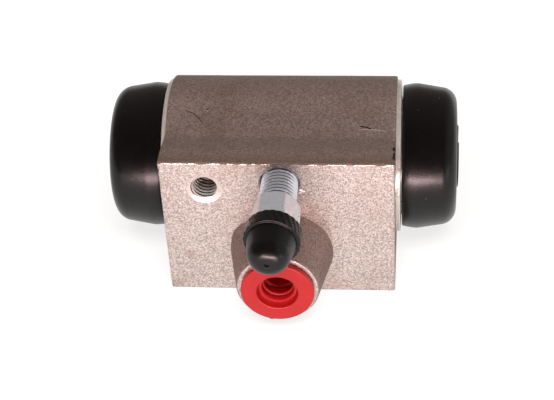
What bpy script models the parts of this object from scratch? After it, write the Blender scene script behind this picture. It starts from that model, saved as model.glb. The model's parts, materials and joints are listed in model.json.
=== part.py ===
"""Drum brake wheel cylinder, with its bleed screw, bleed cap and port plug.

The bore runs along X. The mounting face looks along -Y. The part stands on its
flat base, and the origin lies on the base, straight below the middle of the bore.
All sizes are in metres.
"""
import math

import bmesh
import bpy
from mathutils import Matrix

# Body: a block with a round back, a forward pad and a flat base
BODY_LENGTH = 0.0500
BACK_RADIUS = 0.01783
FRONT_DEPTH = 0.02317          # bore axis to mounting face
PAD_DROP = 0.00194             # the pad's front lip lies this far below the crown
PAD_LIP = 0.0042               # the flat lip behind the mounting face
PAD_SLOPE = 14.0               # degrees, the pad falls towards the round
BASE_DROP = 0.00229            # the base lies this far below the round
BASE_REACH = 0.0080            # the base runs this far behind the bore axis
CREASE_RADIUS = 0.0040         # the hollow between the pad and the round
FOOT_RADIUS = 0.0010
EDGE_RADIUS = 0.00035
COLLAR_LENGTH = 0.0010
COLLAR_STEP = 0.0008           # the turned collar lies this far inside the round
BORE_RADIUS = 0.0111
BORE_CHAMFER = 0.0006
SPIGOT_WALL = 0.0021
SPIGOT_LENGTH = 0.0045
BOOT_GROOVE_DEPTH = 0.0008
BOOT_GROOVE_WIDTH = 0.0016
BOOT_GROOVE_START = 0.0013     # from the collar's face

# Inlet boss and its port
INLET_X = 0.0003
INLET_BELOW_AXIS = 0.0087
BOSS_BASE_RADIUS = 0.01126
BOSS_TIP_RADIUS = 0.00885
BOSS_LENGTH = 0.0119
BOSS_TIP_EDGE = 0.0003
INLET_THREAD_RADIUS = 0.00505  # M10, at the roots of its thread
INLET_DEPTH = 0.0130
INLET_CHAMFER = 0.00085
INLET_PASSAGE_RADIUS = 0.0015

# Bleed hole and bleed screw
BLEED_X = 0.0007
BLEED_ABOVE_AXIS = 0.0102
BLEED_THREAD_RADIUS = 0.00395  # M8, at the crests of its thread
BLEED_THREAD_CLEARANCE = 0.00025
BLEED_MOUTH_STEP = 0.0002
BLEED_MOUTH_DEPTH = 0.0008
BLEED_DEPTH = 0.0078
BLEED_PASSAGE_RADIUS = 0.00125
BLEED_THREAD_OUT = 0.0067      # thread that shows in front of the face
BLEED_RELIEF_LENGTH = 0.0007
BLEED_RELIEF_DEPTH = 0.0006
BLEED_HEX_WIDTH = 0.0090
BLEED_HEX_LENGTH = 0.0068
BLEED_HEX_TURN = 6.0           # degrees
BLEED_HEX_CHAMFER = 0.0004
BLEED_CONE_LENGTH = 0.0018
BLEED_CONE_TIP_RADIUS = 0.0010
BLEED_SEAT_GAP = 0.0003
NIPPLE_NECK_RADIUS = 0.0026
NIPPLE_NECK_LENGTH = 0.0023
NIPPLE_BARB_RADIUS = 0.0032
NIPPLE_BARB_LENGTH = 0.0010
NIPPLE_CONE_LENGTH = 0.0050
NIPPLE_END_RADIUS = 0.0021
BLEED_DRILL_RADIUS = 0.0008

# Bleed cap: a rubber dome with a fluted collar
CAP_SEAT_GAP = 0.0007          # leaves room for the lean
CAP_COLLAR_RADIUS = 0.00595
CAP_COLLAR_LENGTH = 0.0034
CAP_FLUTES = 24
CAP_FLUTE_DEPTH = 0.00014
CAP_STEP = 0.0007
CAP_TAPER = 0.0007
CAP_LENGTH = 0.0105
CAP_CROWN_RADIUS = 0.0011      # the flat middle of the domed nose
CAP_WALL = 0.0015
CAP_BARB_CLEARANCE = 0.0005
CAP_DIMPLE_RADIUS = 0.0005
CAP_DIMPLE_DEPTH = 0.0004
CAP_LEAN = 4.0                 # degrees, the soft cap sits slightly askew

# Mounting screw hole, M6
SCREW_HOLE_X = -0.01546
SCREW_HOLE_ABOVE_AXIS = 0.00864
SCREW_HOLE_RADIUS = 0.00305    # at the roots of its thread
SCREW_HOLE_DEPTH = 0.0115
SCREW_SINK_RADIUS = 0.00388
SCREW_SINK_DEPTH = 0.0009

# Pistons
PISTON_PROUD = 0.00045         # the nose stands this far out of the boot
PISTON_CLEARANCE = 0.00015
PISTON_LAND_LENGTH = 0.0150
PISTON_CHAMFER = 0.0006
PISTON_RELIEF_DEPTH = 0.0007
PISTON_RELIEF_LENGTH = 0.0050
PISTON_NOSE_RADIUS = 0.0070
PISTON_NOSE_LENGTH = 0.0104
PISTON_SLOT_WIDTH = 0.0060
PISTON_SLOT_DEPTH = 0.0052
NOSE_GROOVE_WIDTH = 0.0014
NOSE_GROOVE_DEPTH = 0.0008
NOSE_HEAD_LENGTH = 0.0008

# Cup seals and the spring with its seats
SEAT_GAP = 0.0003
CUP_WEB = 0.0020
CUP_LENGTH = 0.0044
CUP_CLEARANCE = 0.0002
CUP_LIP_THICKNESS = 0.0018
EXPANDER_SHEET = 0.0006
EXPANDER_RADIUS = 0.0078
EXPANDER_SKIRT = 0.0011
EXPANDER_PILOT_RADIUS = 0.0050
EXPANDER_PILOT_LENGTH = 0.0016
SPRING_RADIUS = 0.0061
SPRING_WIRE_RADIUS = 0.0005
SPRING_TURNS = 6.5

# Dust boots
BOOT_GAP = 0.0003
BOOT_STEP = 0.0012             # the boot's mouth lies this far inside the collar
BOOT_BULGE = 0.00042
BOOT_LENGTH = 0.01195
BOOT_TAPER = 0.00085
BOOT_CORNER = 0.0036
BOOT_WALL = 0.0016
BOOT_MOUTH_LENGTH = 0.0048
BOOT_BEAD_WIDTH = 0.0010

# Port plug
PLUG_GAP = 0.0002
PLUG_FLANGE_RADIUS = 0.0079
PLUG_FLANGE_LENGTH = 0.0012
PLUG_SHANK_CLEARANCE = 0.0007  # leaves room for the crests of the port's thread
PLUG_SHANK_LENGTH = 0.0085
PLUG_SHANK_TAPER = 0.0003
PLUG_SINK_RADIUS = 0.0044
PLUG_SINK_DEPTH = 0.0015
PLUG_HOLE_RADIUS = 0.0034
PLUG_WALL_END = 0.0011
PLUG_RIB_DEPTH = 0.0004
PLUG_RIB_PITCH = 0.0024
PLUG_RIB_LENGTH = 0.0008
PLUG_RIBS = 2

# Smoothness
ROUND_STEPS = 40
SMALL_STEPS = 28
HOLE_STEPS = 24
BOOT_STEPS = 36
SPRING_STEPS = 12              # to a turn
ARC_STEPS = 6
OVERSHOOT = 0.0010             # how far a cutter runs past what it cuts

axis_height = BACK_RADIUS + BASE_DROP
half_length = BODY_LENGTH / 2
collar_radius = BACK_RADIUS - COLLAR_STEP
collar_face = half_length + COLLAR_LENGTH
spigot_radius = BORE_RADIUS + SPIGOT_WALL
spigot_end = collar_face + SPIGOT_LENGTH
inlet_height = axis_height - INLET_BELOW_AXIS
bleed_height = axis_height + BLEED_ABOVE_AXIS
bleed_hole_radius = BLEED_THREAD_RADIUS + BLEED_THREAD_CLEARANCE
hex_start = BLEED_THREAD_OUT + BLEED_RELIEF_LENGTH
hex_end = hex_start + BLEED_HEX_LENGTH
boot_start = collar_face + BOOT_GAP
boot_end = boot_start + BOOT_LENGTH
piston_end = boot_end + PISTON_PROUD
piston_shoulder = piston_end - PISTON_NOSE_LENGTH
piston_start = piston_shoulder - PISTON_LAND_LENGTH
nose_groove_end = piston_end - NOSE_HEAD_LENGTH
nose_groove_start = nose_groove_end - NOSE_GROOVE_WIDTH
cup_back = piston_start - SEAT_GAP
expander_back = cup_back - CUP_WEB - SEAT_GAP
expander_front = expander_back - EXPANDER_SHEET


def clear_scene():
    for item in list(bpy.data.objects):
        bpy.data.objects.remove(item, do_unlink=True)


def make_material(name, colour, roughness, metallic):
    material = bpy.data.materials.new(name)
    material.use_nodes = True
    shader = material.node_tree.nodes["Principled BSDF"]
    shader.inputs["Base Color"].default_value = (*colour, 1.0)
    shader.inputs["Roughness"].default_value = roughness
    shader.inputs["Metallic"].default_value = metallic
    material.diffuse_color = (*colour, 1.0)
    return material


def arc(centre, radius, start, end, steps):
    """Points on an arc, from one angle to the other, in degrees."""
    points = []
    for i in range(steps + 1):
        angle = math.radians(start + (end - start) * i / steps)
        points.append((centre[0] + radius * math.cos(angle),
                       centre[1] + radius * math.sin(angle)))
    return points


def add_object(name, shape, material):
    """Turn a bmesh into an object with smooth round faces and sharp edges."""
    bmesh.ops.recalc_face_normals(shape, faces=shape.faces)
    mesh = bpy.data.meshes.new(name)
    shape.to_mesh(mesh)
    shape.free()
    mesh.shade_smooth()
    mesh.set_sharp_from_angle(angle=math.radians(35))
    if material:
        mesh.materials.append(material)
    item = bpy.data.objects.new(name, mesh)
    bpy.context.scene.collection.objects.link(item)
    return item


def turned(outline, steps):
    """Spin an outline of (radius, height) points about local Z.

    An outline that starts and ends on the axis makes a solid of revolution.
    Any other outline is closed and makes a ring.
    """
    shape = bmesh.new()
    verts = [shape.verts.new((radius, 0.0, height)) for radius, height in outline]
    edges = [shape.edges.new(pair) for pair in zip(verts, verts[1:])]
    if outline[0][0] > 0.0:
        edges.append(shape.edges.new((verts[-1], verts[0])))
    bmesh.ops.spin(shape, geom=verts + edges, cent=(0, 0, 0), axis=(0, 0, 1),
                   angle=math.tau, steps=steps, use_merge=True)
    bmesh.ops.remove_doubles(shape, verts=shape.verts, dist=1e-7)
    bmesh.ops.dissolve_degenerate(shape, edges=shape.edges, dist=1e-7)
    return shape


def prism(outline, height):
    """Extrude a closed (x, y) outline along local Z, from zero."""
    shape = bmesh.new()
    face = shape.faces.new([shape.verts.new((x, y, 0.0)) for x, y in outline])
    grown = bmesh.ops.extrude_face_region(shape, geom=[face])
    moved = [part for part in grown["geom"] if isinstance(part, bmesh.types.BMVert)]
    bmesh.ops.translate(shape, verts=moved, vec=(0, 0, height))
    return shape


def box(size_x, size_y, size_z):
    """A box that is centred in X and Y and stands on zero."""
    half_x = size_x / 2
    half_y = size_y / 2
    return prism([(-half_x, -half_y), (half_x, -half_y), (half_x, half_y), (-half_x, half_y)], size_z)


def combine(item, other, operation):
    """Add a Boolean and mark the other object as a guide."""
    other.display_type = "WIRE"
    other.hide_render = True
    modifier = item.modifiers.new(other.name, "BOOLEAN")
    modifier.operation = operation
    modifier.solver = "EXACT"
    modifier.object = other


def place_along_bore(item, side):
    """Turn local Z to point out of the bore at one end."""
    item.location = (0.0, 0.0, axis_height)
    item.rotation_euler = (0.0, side * math.pi / 2, 0.0)


def place_on_face(item, x, height, out=0.0):
    """Turn local Z to point out of the mounting face."""
    item.location = (x, -FRONT_DEPTH - out, height)
    item.rotation_euler = (math.pi / 2, 0.0, 0.0)


def crease_centre(pad_top):
    """Middle of the hollow that joins the pad's slope to the round, as (y, z) from the bore axis."""
    slope = math.radians(PAD_SLOPE)
    start_y = -FRONT_DEPTH + PAD_LIP + CREASE_RADIUS * math.sin(slope)
    start_z = pad_top + CREASE_RADIUS * math.cos(slope)
    along = start_y * math.cos(slope) - start_z * math.sin(slope)
    reach = BACK_RADIUS + CREASE_RADIUS
    run = -along - math.sqrt(along ** 2 - start_y ** 2 - start_z ** 2 + reach ** 2)
    return start_y + run * math.cos(slope), start_z - run * math.sin(slope)


def body_outline():
    """The body's section, seen along X, as (y, z) points measured from the bore axis."""
    pad_top = BACK_RADIUS - PAD_DROP
    base = -axis_height
    hollow = crease_centre(pad_top)
    crease_angle = math.degrees(math.atan2(hollow[1], hollow[0]))
    foot_distance = math.hypot(BASE_REACH, base)
    foot_angle = math.degrees(math.atan2(base, BASE_REACH))
    tangent_angle = foot_angle + math.degrees(math.acos(BACK_RADIUS / foot_distance))
    edge = EDGE_RADIUS
    points = []
    points += arc((-FRONT_DEPTH + edge, base + edge), edge, 270, 180, 3)
    points += arc((-FRONT_DEPTH + edge, pad_top - edge), edge, 180, 90, 3)
    points.append((-FRONT_DEPTH + PAD_LIP, pad_top))
    points += arc(hollow, CREASE_RADIUS, -90 - PAD_SLOPE, crease_angle - 180, 5)
    points += arc((0.0, 0.0), BACK_RADIUS, crease_angle, tangent_angle, 4 * ARC_STEPS)[1:]
    # The foot's corner is rounded between the tangent line and the base
    slope = tangent_angle - 90
    turn = math.radians((slope + 180) / 2)
    inset = FOOT_RADIUS / math.tan(math.pi / 2 - turn)
    corner = (BASE_REACH - inset, base + FOOT_RADIUS)
    points += arc(corner, FOOT_RADIUS, tangent_angle, -90, 4)
    return points


def turned_end(side):
    """The collar and the spigot that carries the boot, at one end of the body."""
    overlap = BODY_LENGTH / 4
    groove_start = collar_face + BOOT_GROOVE_START
    groove_end = groove_start + BOOT_GROOVE_WIDTH
    groove_radius = spigot_radius - BOOT_GROOVE_DEPTH
    outline = [
        (0.0, half_length - overlap),
        (collar_radius, half_length - overlap),
        (collar_radius, collar_face),
        (spigot_radius, collar_face),
        (spigot_radius, groove_start),
        (groove_radius, groove_start),
        (groove_radius, groove_end),
        (spigot_radius, groove_end),
        (spigot_radius, spigot_end - EDGE_RADIUS),
        (spigot_radius - EDGE_RADIUS, spigot_end),
        (0.0, spigot_end),
    ]
    end = "right" if side > 0 else "left"
    item = add_object("guide_turned_end_" + end, turned(outline, ROUND_STEPS), None)
    place_along_bore(item, side)
    return item


def bore_cutter():
    chamfered = BORE_RADIUS + BORE_CHAMFER
    outline = [
        (0.0, -spigot_end - OVERSHOOT),
        (chamfered + OVERSHOOT, -spigot_end - OVERSHOOT),
        (BORE_RADIUS, -spigot_end + BORE_CHAMFER),
        (BORE_RADIUS, spigot_end - BORE_CHAMFER),
        (chamfered + OVERSHOOT, spigot_end + OVERSHOOT),
        (0.0, spigot_end + OVERSHOOT),
    ]
    item = add_object("guide_bore", turned(outline, ROUND_STEPS), None)
    place_along_bore(item, 1)
    return item


def boss_solid():
    outline = [
        (0.0, -OVERSHOOT),
        (BOSS_BASE_RADIUS, -OVERSHOOT),
        (BOSS_BASE_RADIUS, 0.0),
        (BOSS_TIP_RADIUS, BOSS_LENGTH - BOSS_TIP_EDGE),
        (BOSS_TIP_RADIUS - BOSS_TIP_EDGE, BOSS_LENGTH),
        (0.0, BOSS_LENGTH),
    ]
    item = add_object("guide_boss", turned(outline, ROUND_STEPS), None)
    place_on_face(item, INLET_X, inlet_height)
    return item


def inlet_cutter():
    """The port's thread bore with its chamfer, flat seat and passage to the bore."""
    bottom = BOSS_LENGTH - INLET_DEPTH
    outline = [
        (0.0, -FRONT_DEPTH + BORE_RADIUS / 2),
        (INLET_PASSAGE_RADIUS, -FRONT_DEPTH + BORE_RADIUS / 2),
        (INLET_PASSAGE_RADIUS, bottom),
        (INLET_THREAD_RADIUS, bottom),
        (INLET_THREAD_RADIUS, BOSS_LENGTH - INLET_CHAMFER),
        (INLET_THREAD_RADIUS + INLET_CHAMFER + OVERSHOOT, BOSS_LENGTH + OVERSHOOT),
        (0.0, BOSS_LENGTH + OVERSHOOT),
    ]
    item = add_object("guide_inlet", turned(outline, SMALL_STEPS), None)
    place_on_face(item, INLET_X, inlet_height)
    return item


def bleed_cutter():
    """The bleed screw's thread bore, its cone seat and the passage to the bore's crown."""
    mouth = bleed_hole_radius + BLEED_MOUTH_STEP
    outline = [
        (0.0, -FRONT_DEPTH + BLEED_PASSAGE_RADIUS),
        (BLEED_PASSAGE_RADIUS, -FRONT_DEPTH + BLEED_PASSAGE_RADIUS),
        (BLEED_PASSAGE_RADIUS, -BLEED_DEPTH - BLEED_CONE_LENGTH),
        (bleed_hole_radius, -BLEED_DEPTH),
        (bleed_hole_radius, -BLEED_MOUTH_DEPTH),
        (mouth, -BLEED_MOUTH_DEPTH),
        (mouth, OVERSHOOT),
        (0.0, OVERSHOOT),
    ]
    item = add_object("guide_bleed_hole", turned(outline, SMALL_STEPS), None)
    place_on_face(item, BLEED_X, bleed_height)
    return item


def screw_hole_cutter():
    """The M6 mounting hole: countersunk mouth, thread bore and drill point."""
    slope = (SCREW_SINK_RADIUS - SCREW_HOLE_RADIUS) / SCREW_SINK_DEPTH
    outline = [
        (0.0, -SCREW_HOLE_DEPTH - SCREW_HOLE_RADIUS / 2),
        (SCREW_HOLE_RADIUS, -SCREW_HOLE_DEPTH),
        (SCREW_HOLE_RADIUS, -SCREW_SINK_DEPTH),
        (SCREW_SINK_RADIUS + slope * OVERSHOOT, OVERSHOOT),
        (0.0, OVERSHOOT),
    ]
    item = add_object("guide_screw_hole", turned(outline, HOLE_STEPS), None)
    place_on_face(item, SCREW_HOLE_X, axis_height + SCREW_HOLE_ABOVE_AXIS)
    return item


def make_body(material):
    """The casting: block, turned ends and boss in one piece, then its holes."""
    shape = prism(body_outline(), BODY_LENGTH)
    # Local X, Y, Z of the prism become world Y, Z, X
    stand_up = Matrix(((0, 0, 1, -half_length), (1, 0, 0, 0), (0, 1, 0, axis_height), (0, 0, 0, 1)))
    bmesh.ops.transform(shape, matrix=stand_up, verts=shape.verts)
    item = add_object("cylinder_body", shape, material)
    for side in (-1, 1):
        combine(item, turned_end(side), "UNION")
    combine(item, boss_solid(), "UNION")
    for cutter in (bore_cutter(), inlet_cutter(), bleed_cutter(), screw_hole_cutter()):
        combine(item, cutter, "DIFFERENCE")


def make_piston(name, side, material):
    """A piston with a relieved land, a nose grooved for the boot and a slot for the shoe."""
    land = BORE_RADIUS - PISTON_CLEARANCE
    relief_start = piston_start + (PISTON_LAND_LENGTH - PISTON_RELIEF_LENGTH) / 2
    relief_end = relief_start + PISTON_RELIEF_LENGTH
    relief = land - PISTON_RELIEF_DEPTH
    groove = PISTON_NOSE_RADIUS - NOSE_GROOVE_DEPTH
    outline = [
        (0.0, piston_start),
        (land - PISTON_CHAMFER, piston_start),
        (land, piston_start + PISTON_CHAMFER),
        (land, relief_start),
        (relief, relief_start + PISTON_RELIEF_DEPTH),
        (relief, relief_end - PISTON_RELIEF_DEPTH),
        (land, relief_end),
        (land, piston_shoulder - PISTON_CHAMFER),
        (land - PISTON_CHAMFER, piston_shoulder),
        (PISTON_NOSE_RADIUS, piston_shoulder),
        (PISTON_NOSE_RADIUS, nose_groove_start),
        (groove, nose_groove_start),
        (groove, nose_groove_end),
        (PISTON_NOSE_RADIUS, nose_groove_end),
        (PISTON_NOSE_RADIUS, piston_end - EDGE_RADIUS),
        (PISTON_NOSE_RADIUS - EDGE_RADIUS, piston_end),
        (0.0, piston_end),
    ]
    item = add_object(name, turned(outline, SMALL_STEPS), material)
    place_along_bore(item, side)
    slot_shape = box(4 * PISTON_NOSE_RADIUS, PISTON_SLOT_WIDTH, PISTON_SLOT_DEPTH + OVERSHOOT)
    bmesh.ops.translate(slot_shape, verts=slot_shape.verts, vec=(0, 0, piston_end - PISTON_SLOT_DEPTH))
    slot = add_object("guide_slot_" + name, slot_shape, None)
    place_along_bore(slot, side)
    combine(item, slot, "DIFFERENCE")


def make_cup_seal(name, side, material):
    """A cup whose lip faces the fluid and spreads against the bore."""
    outer = BORE_RADIUS - CUP_CLEARANCE
    heel = outer - CUP_LIP_THICKNESS / 3
    lip = cup_back - CUP_LENGTH
    root = cup_back - CUP_WEB
    outline = [
        (0.0, cup_back),
        (heel - EDGE_RADIUS, cup_back),
        (heel, cup_back - EDGE_RADIUS),
        (heel, root),
        (outer, lip + CUP_LIP_THICKNESS / 2),
        (outer - CUP_LIP_THICKNESS / 4, lip),
        (outer - CUP_LIP_THICKNESS, lip),
        (outer - CUP_LIP_THICKNESS - CUP_LIP_THICKNESS / 4, root),
        (0.0, root),
    ]
    item = add_object(name, turned(outline, SMALL_STEPS), material)
    place_along_bore(item, side)


def make_expander(name, side, material):
    """A pressed washer that spreads the cup and pilots the spring."""
    rim = EXPANDER_RADIUS
    sheet = EXPANDER_SHEET
    skirt = expander_front - EXPANDER_SKIRT
    pilot = expander_front - EXPANDER_PILOT_LENGTH
    outline = [
        (0.0, pilot),
        (EXPANDER_PILOT_RADIUS - sheet, pilot),
        (EXPANDER_PILOT_RADIUS, pilot + sheet),
        (EXPANDER_PILOT_RADIUS, expander_front),
        (rim - sheet, expander_front),
        (rim, skirt),
        (rim + sheet / 2, skirt + sheet / 2),
        (rim - sheet / 2, expander_back),
        (EXPANDER_PILOT_RADIUS - sheet, expander_back),
        (EXPANDER_PILOT_RADIUS - sheet, pilot + sheet),
        (0.0, pilot + sheet),
    ]
    item = add_object(name, turned(outline, HOLE_STEPS), material)
    place_along_bore(item, side)


def make_spring(material):
    """A compression spring between the two expanders, its end turns wound close."""
    reach = expander_front - SEAT_GAP - SPRING_WIRE_RADIUS
    count = round(SPRING_TURNS * SPRING_STEPS)
    close_pitch = 2.3 * SPRING_WIRE_RADIUS
    open_rise = (2 * reach - 2 * close_pitch) / (SPRING_TURNS - 2)
    curve = bpy.data.curves.new("return_spring", "CURVE")
    curve.dimensions = "3D"
    curve.bevel_depth = SPRING_WIRE_RADIUS
    curve.bevel_resolution = 1
    curve.use_fill_caps = True
    curve.materials.append(material)
    spline = curve.splines.new("POLY")
    spline.points.add(count)
    for i in range(count + 1):
        turn = i / SPRING_STEPS
        height = -reach + close_pitch * min(turn, 1.0)
        height += open_rise * min(max(turn - 1.0, 0.0), SPRING_TURNS - 2)
        height += close_pitch * max(turn - (SPRING_TURNS - 1), 0.0)
        angle = math.tau * turn
        spline.points[i].co = (SPRING_RADIUS * math.cos(angle), SPRING_RADIUS * math.sin(angle), height, 1.0)
    item = bpy.data.objects.new("return_spring", curve)
    bpy.context.scene.collection.objects.link(item)
    place_along_bore(item, 1)


def boot_outline():
    """The boot's section: barrel wall, round shoulder, end wall and two gripping lips."""
    mouth = collar_radius - BOOT_STEP
    crown = mouth + BOOT_BULGE
    shoulder = crown - BOOT_TAPER
    bulge_end = boot_start + BOOT_MOUTH_LENGTH
    hole = PISTON_NOSE_RADIUS + BOOT_GAP
    lip = PISTON_NOSE_RADIUS - NOSE_GROOVE_DEPTH + BOOT_GAP
    grip = spigot_radius + BOOT_GAP
    bead = spigot_radius - BOOT_GROOVE_DEPTH + BOOT_GAP
    bead_start = collar_face + BOOT_GROOVE_START + (BOOT_GROOVE_WIDTH - BOOT_BEAD_WIDTH) / 2
    bead_end = bead_start + BOOT_BEAD_WIDTH
    inner = crown - BOOT_WALL
    inner_end = boot_end - BOOT_WALL
    lip_start = nose_groove_start + BOOT_GAP
    lip_end = nose_groove_end - BOOT_GAP
    corner_centre = (shoulder - BOOT_CORNER, boot_end - BOOT_CORNER)
    points = [(mouth, boot_start)]
    for share in (0.5, 1.0):
        bulge = BOOT_BULGE * math.sin(share * math.pi / 2)
        points.append((mouth + bulge, boot_start + (bulge_end - boot_start) * share * 0.7))
    points += arc(corner_centre, BOOT_CORNER, 6, 90, ARC_STEPS)
    points += [
        (hole, boot_end),
        (hole, lip_end),
        (lip, lip_end),
        (lip, lip_start),
        (hole, lip_start),
        (hole, inner_end),
    ]
    points += arc((inner - BOOT_CORNER, inner_end - BOOT_CORNER), BOOT_CORNER, 90, 0, 3)
    points += [
        (inner, spigot_end + BOOT_WALL),
        (grip, spigot_end + BOOT_GAP),
        (grip, bead_end),
        (bead, bead_end),
        (bead, bead_start),
        (grip, bead_start),
        (grip, boot_start),
    ]
    return points


def make_boot(name, side, material):
    item = add_object(name, turned(boot_outline(), BOOT_STEPS), material)
    place_along_bore(item, side)


def make_bleed_screw(material):
    """A hollow screw: cone point, thread, hexagon and barbed nipple."""
    thread_start = -BLEED_DEPTH + 2 * BLEED_SEAT_GAP
    relief = BLEED_THREAD_RADIUS - BLEED_RELIEF_DEPTH
    neck_end = hex_end + NIPPLE_NECK_LENGTH
    barb_end = neck_end + NIPPLE_BARB_LENGTH
    nipple_end = barb_end + NIPPLE_CONE_LENGTH
    cone_start = thread_start - BLEED_CONE_LENGTH * (relief - BLEED_CONE_TIP_RADIUS) / relief
    outline = [
        (0.0, cone_start),
        (BLEED_CONE_TIP_RADIUS, cone_start),
        (relief, thread_start),
        (relief, thread_start + BLEED_RELIEF_LENGTH),
        (BLEED_THREAD_RADIUS, thread_start + BLEED_RELIEF_LENGTH + BLEED_RELIEF_DEPTH),
        (BLEED_THREAD_RADIUS, BLEED_THREAD_OUT - BLEED_RELIEF_DEPTH / 2),
        (relief, BLEED_THREAD_OUT + BLEED_RELIEF_DEPTH / 2),
        (relief, hex_start + BLEED_HEX_CHAMFER),
        (NIPPLE_NECK_RADIUS, hex_start + BLEED_HEX_CHAMFER),
        (NIPPLE_NECK_RADIUS, neck_end),
        (NIPPLE_BARB_RADIUS, neck_end),
        (NIPPLE_BARB_RADIUS, barb_end),
        (NIPPLE_END_RADIUS, nipple_end),
        (0.0, nipple_end),
    ]
    item = add_object("bleed_screw", turned(outline, SMALL_STEPS), material)
    corner = BLEED_HEX_WIDTH / math.sqrt(3)
    turn = 90 + BLEED_HEX_TURN
    hexagon = [(corner * math.cos(math.radians(turn + 30 + 60 * i)),
                corner * math.sin(math.radians(turn + 30 + 60 * i))) for i in range(6)]
    hex_shape = prism(hexagon, BLEED_HEX_LENGTH)
    bmesh.ops.translate(hex_shape, verts=hex_shape.verts, vec=(0, 0, hex_start))
    hex_item = add_object("guide_bleed_hex", hex_shape, None)
    face_radius = corner - 2 * BLEED_HEX_CHAMFER
    blank = [
        (0.0, hex_start),
        (face_radius, hex_start),
        (corner, hex_start + 2 * BLEED_HEX_CHAMFER),
        (corner, hex_end - BLEED_HEX_CHAMFER),
        (face_radius + BLEED_HEX_CHAMFER, hex_end),
        (0.0, hex_end),
    ]
    blank_item = add_object("guide_bleed_blank", turned(blank, SMALL_STEPS), None)
    drill_shape = turned([
        (0.0, thread_start),
        (BLEED_DRILL_RADIUS, thread_start),
        (BLEED_DRILL_RADIUS, nipple_end + OVERSHOOT),
        (0.0, nipple_end + OVERSHOOT),
    ], 12)
    drill = add_object("guide_bleed_drill", drill_shape, None)
    cross_shape = turned([
        (0.0, -BLEED_THREAD_RADIUS * 1.5),
        (BLEED_DRILL_RADIUS * 0.7, -BLEED_THREAD_RADIUS * 1.5),
        (BLEED_DRILL_RADIUS * 0.7, BLEED_THREAD_RADIUS * 1.5),
        (0.0, BLEED_THREAD_RADIUS * 1.5),
    ], 12)
    lay_down = Matrix.Rotation(math.pi / 2, 4, "Y")
    lift = Matrix.Translation((0, 0, thread_start + BLEED_RELIEF_LENGTH))
    bmesh.ops.transform(cross_shape, matrix=lift @ lay_down, verts=cross_shape.verts)
    cross = add_object("guide_bleed_cross", cross_shape, None)
    for part in (item, hex_item, blank_item, drill, cross):
        place_on_face(part, BLEED_X, bleed_height)
    combine(hex_item, blank_item, "INTERSECT")
    combine(item, hex_item, "UNION")
    combine(item, drill, "DIFFERENCE")
    combine(item, cross, "DIFFERENCE")


def make_bleed_cap(material):
    """The dome is spun, and the collar's rings are then pressed in to make flutes."""
    collar = CAP_COLLAR_RADIUS
    dome = collar - CAP_STEP
    nose_start = dome - CAP_TAPER
    nose_radius = nose_start - CAP_CROWN_RADIUS
    nose_centre = (CAP_CROWN_RADIUS, CAP_LENGTH - nose_radius)
    inner = NIPPLE_BARB_RADIUS + CAP_BARB_CLEARANCE
    inner_end = CAP_LENGTH - CAP_WALL
    dimple_end = CAP_LENGTH - CAP_DIMPLE_DEPTH
    outline = [(0.0, dimple_end), (CAP_DIMPLE_RADIUS / 2, dimple_end), (CAP_DIMPLE_RADIUS, CAP_LENGTH)]
    outline += arc(nose_centre, nose_radius, 90, 6, ARC_STEPS)
    outline += [
        (dome, CAP_COLLAR_LENGTH),
        (collar - EDGE_RADIUS, CAP_COLLAR_LENGTH),
        (collar, CAP_COLLAR_LENGTH - EDGE_RADIUS),
        (collar, EDGE_RADIUS),
        (collar - EDGE_RADIUS, 0.0),
        (inner, 0.0),
        (inner, inner_end - inner / 2),
        (inner / 2, inner_end),
        (0.0, inner_end),
    ]
    shape = turned(outline, CAP_FLUTES * 2)
    for vert in shape.verts:
        radius = math.hypot(vert.co.x, vert.co.y)
        step = round(math.atan2(vert.co.y, vert.co.x) / math.tau * CAP_FLUTES * 2) % 2
        on_collar = abs(radius - collar) < EDGE_RADIUS / 10 and vert.co.z < CAP_COLLAR_LENGTH
        if on_collar and step == 0:
            vert.co.x *= 1 - CAP_FLUTE_DEPTH / radius
            vert.co.y *= 1 - CAP_FLUTE_DEPTH / radius
    item = add_object("bleed_cap", shape, material)
    place_on_face(item, BLEED_X, bleed_height, hex_end + CAP_SEAT_GAP)
    item.rotation_euler.z = -math.radians(CAP_LEAN)


def make_port_plug(material):
    """A moulded plug: flange, sunk mouth, ribbed hole and closed shank."""
    shank = INLET_THREAD_RADIUS - PLUG_SHANK_CLEARANCE
    hole_end = -PLUG_SHANK_LENGTH + PLUG_WALL_END
    front = PLUG_FLANGE_LENGTH
    sink = front - PLUG_SINK_DEPTH
    edge = EDGE_RADIUS
    outline = [
        (0.0, -PLUG_SHANK_LENGTH),
        (shank - PLUG_SHANK_TAPER - edge, -PLUG_SHANK_LENGTH),
        (shank - PLUG_SHANK_TAPER, -PLUG_SHANK_LENGTH + edge),
        (shank, 0.0),
        (PLUG_FLANGE_RADIUS, 0.0),
        (PLUG_FLANGE_RADIUS, front - edge),
        (PLUG_FLANGE_RADIUS - edge, front),
        (PLUG_SINK_RADIUS, front),
        (PLUG_SINK_RADIUS - edge, sink),
        (PLUG_HOLE_RADIUS, sink),
    ]
    for i in range(PLUG_RIBS):
        top = sink - PLUG_RIB_PITCH * (i + 0.6)
        outline += [
            (PLUG_HOLE_RADIUS, top),
            (PLUG_HOLE_RADIUS - PLUG_RIB_DEPTH, top - PLUG_RIB_LENGTH / 3),
            (PLUG_HOLE_RADIUS - PLUG_RIB_DEPTH, top - PLUG_RIB_LENGTH * 2 / 3),
            (PLUG_HOLE_RADIUS, top - PLUG_RIB_LENGTH),
        ]
    outline += [
        (PLUG_HOLE_RADIUS, hole_end),
        (0.0, hole_end),
    ]
    item = add_object("port_plug", turned(outline, SMALL_STEPS), material)
    place_on_face(item, INLET_X, inlet_height, BOSS_LENGTH + PLUG_GAP)


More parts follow.
